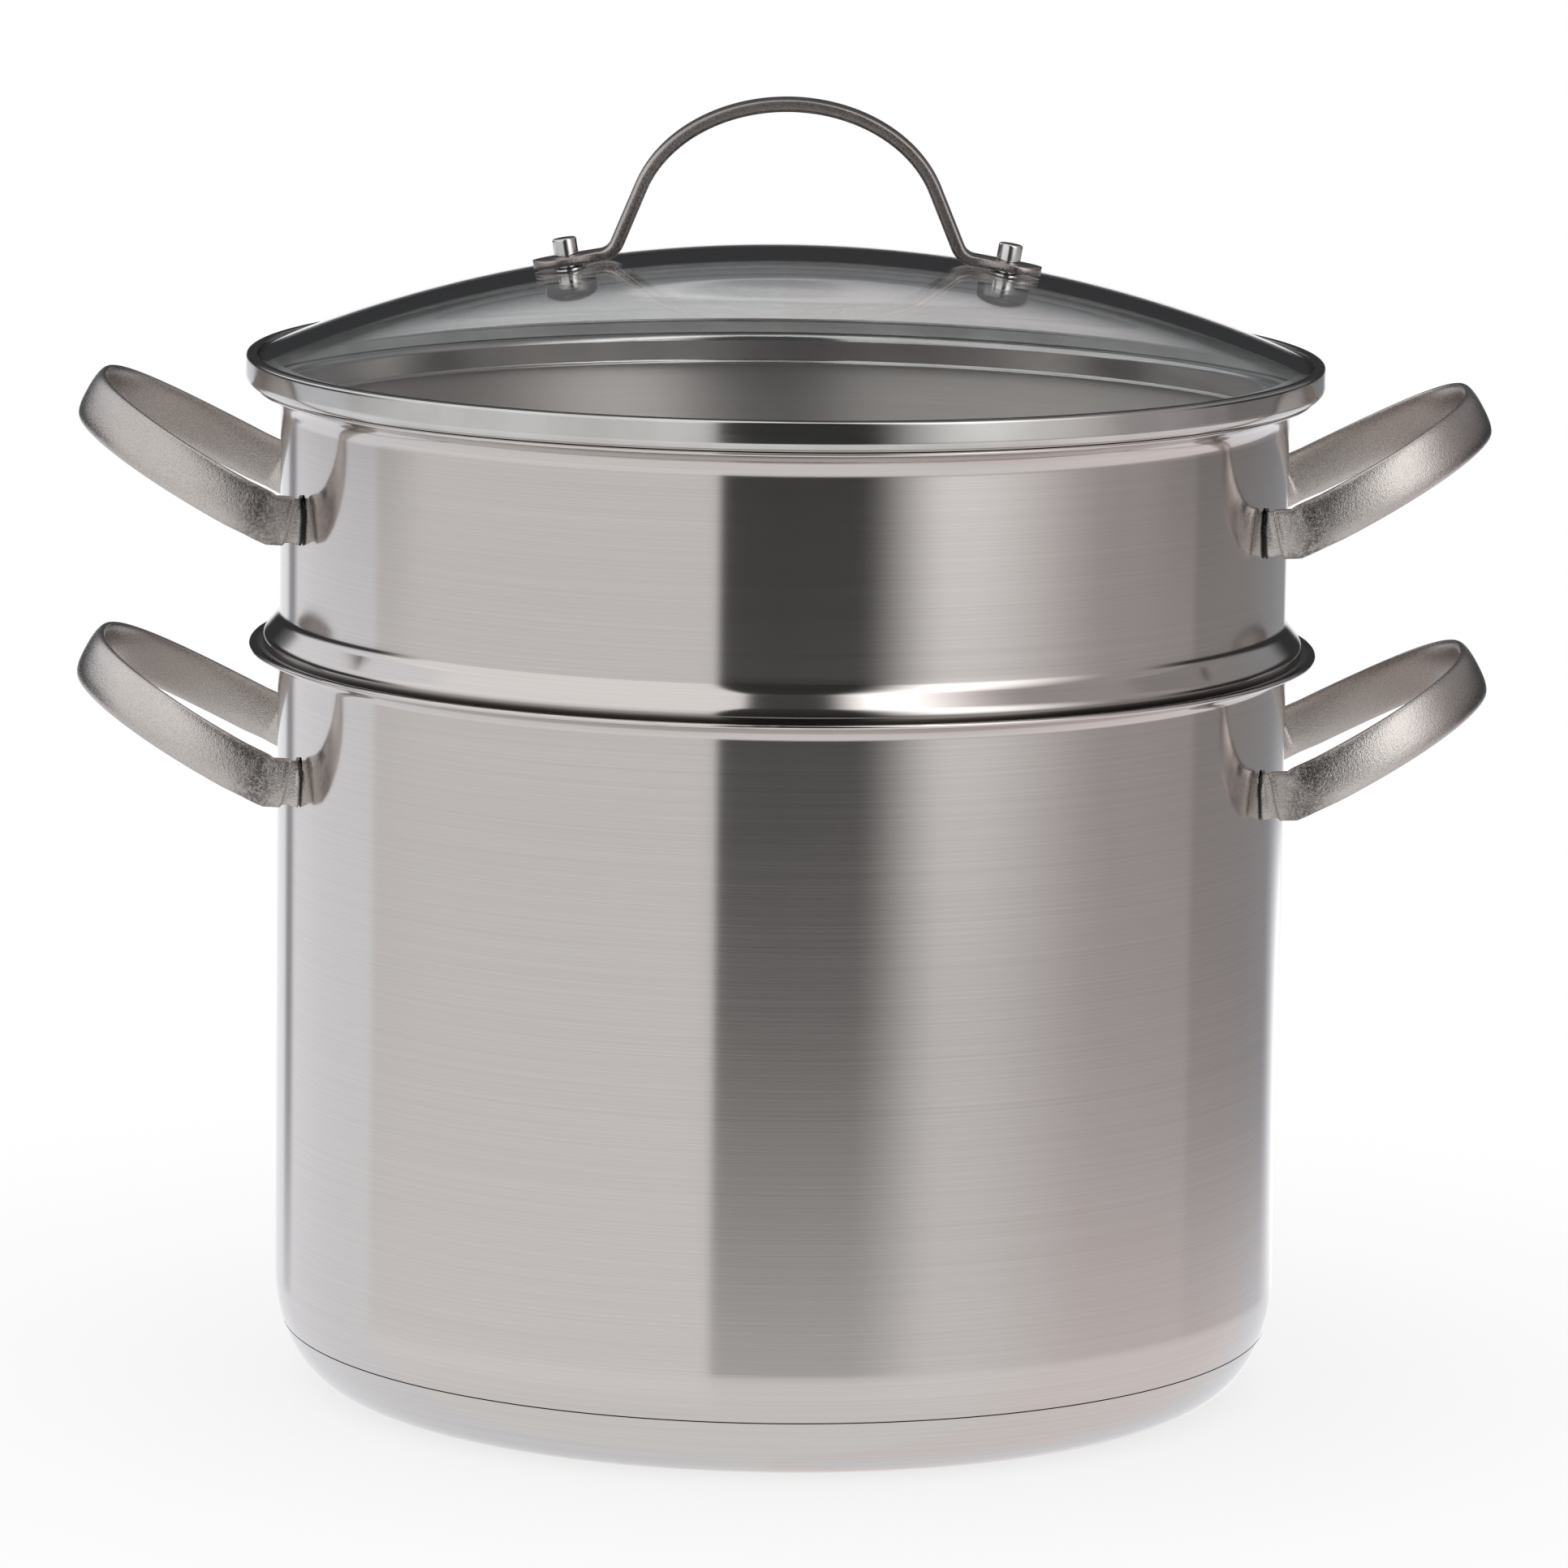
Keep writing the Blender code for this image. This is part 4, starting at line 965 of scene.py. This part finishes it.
def makeLidHandle():
    half = lidHandleStations()
    whole = [(Vector((-point.x, point.y)), *others) for point, *others in half[:0:-1]] + half
    square = lidHandle["squareness"]
    rings = []
    for (point, width, deep), way in zip(whole, waysAlong([one[0] for one in whole])):
        up = Vector((-way.y, 0.0, way.x))
        middle = Vector((point.x, 0.0, point.y))
        rings.append([middle + Vector((0.0, wide, 0.0)) + up * thin
                      for wide, thin in strapSection(width, deep, deep, square, square)])
    hole = stud["shank"] / 2 + stud["fit"]
    top = 3 * lidHandle["tabThickness"]
    arch = drilled(sweptMesh("lidHandle", rings), [drillMesh(hole, top, -airGap, side) for side in (-1, 1)])
    addPiece("lidHandleArch", arch, lidHandleSteel, "lid", "lid_handle_steel", "lid_handle", sharpFrom=38.0)


def makeLidFixings(word, side):
    place = studFrame(side)
    head = stud["headDiameter"] / 2
    shank = stud["shank"] / 2
    chamfer = stud["chamfer"]
    headLow = airGap + lidHandle["tabThickness"] + airGap
    headTop = headLow + stud["headHeight"]
    flangeTop = -lid["glass"] - airGap
    flangeLow = flangeTop - stud["flange"]
    washerTop = flangeLow - airGap
    washerLow = washerTop - stud["washer"]
    capTop = washerLow - airGap
    shankEnd = capTop - stud["engagement"]
    bore = shankEnd - airGap
    inner = shank + stud["fit"]
    sleeve = inner + stud["bushingWall"]
    flange = stud["capDiameter"] / 2
    parts = {
        "lidStud": (studSteel, "stud_steel", "lid_stud_", False,
                    [(0.0, headTop)] + arc((head - chamfer, headTop - chamfer), chamfer, 90, 0, 6)
                    + [(head, headLow), (shank, headLow), (shank, shankEnd), (0.0, shankEnd)]),
        "lidBushing": (silicone, "seal_silicone", "lid_bushing_", True,
                       [(sleeve, -airGap), (sleeve, flangeTop), (flange, flangeTop),
                        (flange, flangeLow), (inner, flangeLow), (inner, -airGap)]),
        "lidWasher": (nutSteelPaintedDark, "stud_steel", "lid_washer_", True,
                      [(flange, washerTop), (flange, washerLow), (inner, washerLow), (inner, washerTop)]),
        "lidCapNut": (nutSteelPaintedDark, "stud_steel", "lid_cap_nut_", False,
                      [(0.0, bore), (inner, bore), (inner, capTop), (flange, capTop)]
                      + arc((0.0, capTop - stud["capRim"]), (flange, stud["capHeight"] - stud["capRim"]),
                            0, -90, 20)),
    }
    for name, (finish, slotName, node, closed, outline) in parts.items():
        mesh = turnedMesh(name, outline, closed, around=64)
        mesh.transform(place)
        addPiece(name + word, mesh, finish, "lid", slotName, node + word.lower(), sharpFrom=35.0)


makeLidGlass()
makeLidBand()
makeLidHandle()
makeLidFixings("Left", -1)
makeLidFixings("Right", 1)
print("lid ready")


# Studio: a pale floor, and a light tent that only reflections see

# Brightness of each zone, with the degrees over which it fades in: azimuth 0 is the camera's side and grows
# to the right, and elevation is 0 at the horizon
tent = {
    "radius": 5.5, "left": 0.80, "leftHigh": 1.05, "highRise": (0.0, 8.0), "farLeft": 0.95,
    "farLeftEdge": (-105.5, -103.5), "leftDip": 0.34, "leftDipSpan": (-154.0, -147.0, 2.5), "softbox": 1.03,
    "softboxLow": 0.58, "softboxHigh": 2.1, "softboxEdge": (16.0, 26.0), "softboxRise": (-8.5, -5.5),
    "right": 0.42, "rightEdge": (40.0, 82.0), "farRight": 0.32, "farRightEdge": (105.5, 107.5),
    "edgeRight": 1.8, "edgeRightEdge": (146.0, 169.0), "edgeRightTop": (-9.5, -7.0), "slot": 0.04,
    "slotLeft": (-15.0, -13.0), "slotRight": (16.0, 38.0), "over": 1.3, "overRise": (72.0, 82.0),
    "back": 0.04, "backWide": (84.0, 104.0), "backNarrow": (146.0, 158.0), "backNarrowing": (8.0, 16.0),
    "backSpan": (-3.5, 58.0, 2.0), "backStrip": 0.16, "stripRise": (17.0, 18.5), "backUpper": 0.10,
    "upperRise": (28.0, 30.0), "behind": 1.0, "behindEdge": (165.0, 172.0), "behindTop": (0.5, 3.0),
    "glow": 0.93, "glowTop": (-13.0, -10.0), "glowShare": 0.95, "under": 0.86, "underTop": (-50.0, -15.0),
    "white": (1.0, 1.0, 1.0), "warm": (1.0, 0.945, 0.95), "warmEdge": (45.0, 75.0),
    "cool": (0.97, 0.985, 1.03), "coolEdge": (120.0, 150.0),
}


def tentCloth(graph, look):
    def past(angle, edge):
        return graph.smoothStep(angle, *look[edge])

    x, y, z = (graph.axis(letter) for letter in "XYZ")
    degrees = 180 / math.pi
    azimuth = x.maths("ARCTAN2", y * -1.0) * degrees
    elevation = z.maths("ARCTAN2", (x * x + y * y).maths("SQRT")) * degrees
    aside = azimuth.maths("ABSOLUTE")

    high = past(elevation, "highRise")
    farLeft = 1.0 - past(azimuth, "farLeftEdge")
    box = high * (look["softboxHigh"] - look["softbox"]) + look["softboxLow"]
    box = box + past(elevation, "softboxRise") * (look["softbox"] - look["softboxLow"])
    back = past(aside, "backWide").towards(past(aside, "backNarrow"), past(elevation, "backNarrowing"))
    backLight = past(elevation, "stripRise") * (look["backStrip"] - look["back"]) + look["back"]
    backLight = backLight.towards(look["backUpper"], past(elevation, "upperRise"))
    behind = past(aside, "behindEdge") * (1.0 - past(elevation, "behindTop"))
    glow = (1.0 - past(elevation, "glowTop")) * look["glowShare"]
    light = high * (look["leftHigh"] - look["left"]) + look["left"]
    for level, amount in (
            (look["farLeft"], farLeft),
            (look["leftDip"], graph.between(azimuth, *look["leftDipSpan"])),
            (box, past(azimuth, "softboxEdge")),
            (look["right"], past(azimuth, "rightEdge")),
            (look["farRight"], past(azimuth, "farRightEdge")),
            (look["edgeRight"], past(azimuth, "edgeRightEdge") * (1.0 - past(elevation, "edgeRightTop"))),
            (look["slot"], past(azimuth, "slotLeft") * (1.0 - past(azimuth, "slotRight"))),
            (look["over"], past(elevation, "overRise")),
            (backLight, back * graph.between(elevation, *look["backSpan"])),
            (look["behind"], behind),
            (look["glow"], glow * (1.0 - behind)),
            (look["under"], 1.0 - past(elevation, "underTop"))):
        light = light.towards(level, amount)

    cool = farLeft.maths("MAXIMUM", past(azimuth, "coolEdge")) * (1.0 - behind)
    warm = graph.mixColour(past(azimuth, "warmEdge"), look["white"], look["warm"])
    return graph.node("ShaderNodeEmission", {}, {
        "Color": graph.mixColour(cool, warm, look["cool"]), "Strength": light})


def makeTent():
    shape = bmesh.new()
    bmesh.ops.create_uvsphere(shape, u_segments=96, v_segments=48, radius=tent["radius"])
    piece = placed("lightTent", meshFrom(shape, "lightTent"))
    piece.data.shade_smooth()
    piece.data.materials.append(material("tentCloth", tentCloth, tent))
    for seen in ("visible_camera", "visible_diffuse", "visible_shadow"):
        setattr(piece, seen, False)


# To the camera the floor is mostly plain white, more so far from the pot
floor = {"radius": 5.4, "drop": 0.0001, "farRange": (0.14, 0.4), "whiteNear": 0.72, "speckScale": 300.0,
         "seed": 2.0, "dark": (0.96, 0.96, 0.96), "light": (0.99, 0.99, 0.99), "roughness": 0.7}


def paleFloor(graph, look):
    far = graph.smoothStep(graph.vector("LENGTH", graph.here()), *look["farRange"])
    speck = graph.noise(look["speckScale"], look["seed"])
    diffuse = graph.node("ShaderNodeBsdfPrincipled", {}, {
        "Base Color": graph.mixColour(speck, look["dark"], look["light"]), "Roughness": look["roughness"]})
    white = graph.node("ShaderNodeEmission", {}, {"Color": (1.0, 1.0, 1.0, 1.0), "Strength": 1.0})
    seen = graph.node("ShaderNodeLightPath", output="Is Camera Ray")
    return graph.mixShader(seen * (far * (1.0 - look["whiteNear"]) + look["whiteNear"]), diffuse, white)


def makeFloor():
    shape = bmesh.new()
    bmesh.ops.create_circle(shape, cap_ends=True, segments=128, radius=floor["radius"])
    piece = placed("floor", meshFrom(shape, "floor"))
    piece.data.transform(Matrix.Translation((0.0, 0.0, -floor["drop"])))
    piece.data.materials.append(material("paleFloor", paleFloor, floor))
    piece.visible_glossy = False
    piece.visible_transmission = False


def makeWorld():
    world = bpy.data.worlds.new("studio")
    bpy.context.scene.world = world
    world.use_nodes = True
    graph = Graph(world.node_tree)
    light = graph.node("ShaderNodeBackground", {}, {"Color": (1.0, 1.0, 1.0, 1.0), "Strength": 1.0})
    graph.node("ShaderNodeOutputWorld", {}, {"Surface": light})


cameraView = {"distance": 2.2298, "height": 0.5106, "pitch": 0.16255, "roll": 0.0135, "yaw": 0.0004,
              "lens": 215.3, "sensor": 36.0, "sight": 50.0}


def makeCamera():
    pitch, roll, yaw = (cameraView[name] for name in ("pitch", "roll", "yaw"))
    forward = Vector((math.sin(yaw) * math.cos(pitch), math.cos(yaw) * math.cos(pitch), -math.sin(pitch)))
    right = Vector((math.cos(yaw), -math.sin(yaw), 0.0))
    up = right.cross(forward)
    rolledRight = right * math.cos(roll) + up * math.sin(roll)
    rolledUp = up * math.cos(roll) - right * math.sin(roll)
    data = bpy.data.cameras.new("photoCamera")
    data.sensor_width = cameraView["sensor"]
    data.lens = cameraView["lens"]
    data.clip_end = cameraView["sight"]
    camera = placed("photoCamera", data)
    turn = Matrix((rolledRight, rolledUp, -forward)).transposed().to_4x4()
    camera.matrix_world = Matrix.Translation((0.0, -cameraView["distance"], cameraView["height"])) @ turn
    bpy.context.scene.camera = camera


makeTent()
makeFloor()
makeWorld()
makeCamera()
bpy.context.scene.view_settings.view_transform = "Standard"
print("studio ready")
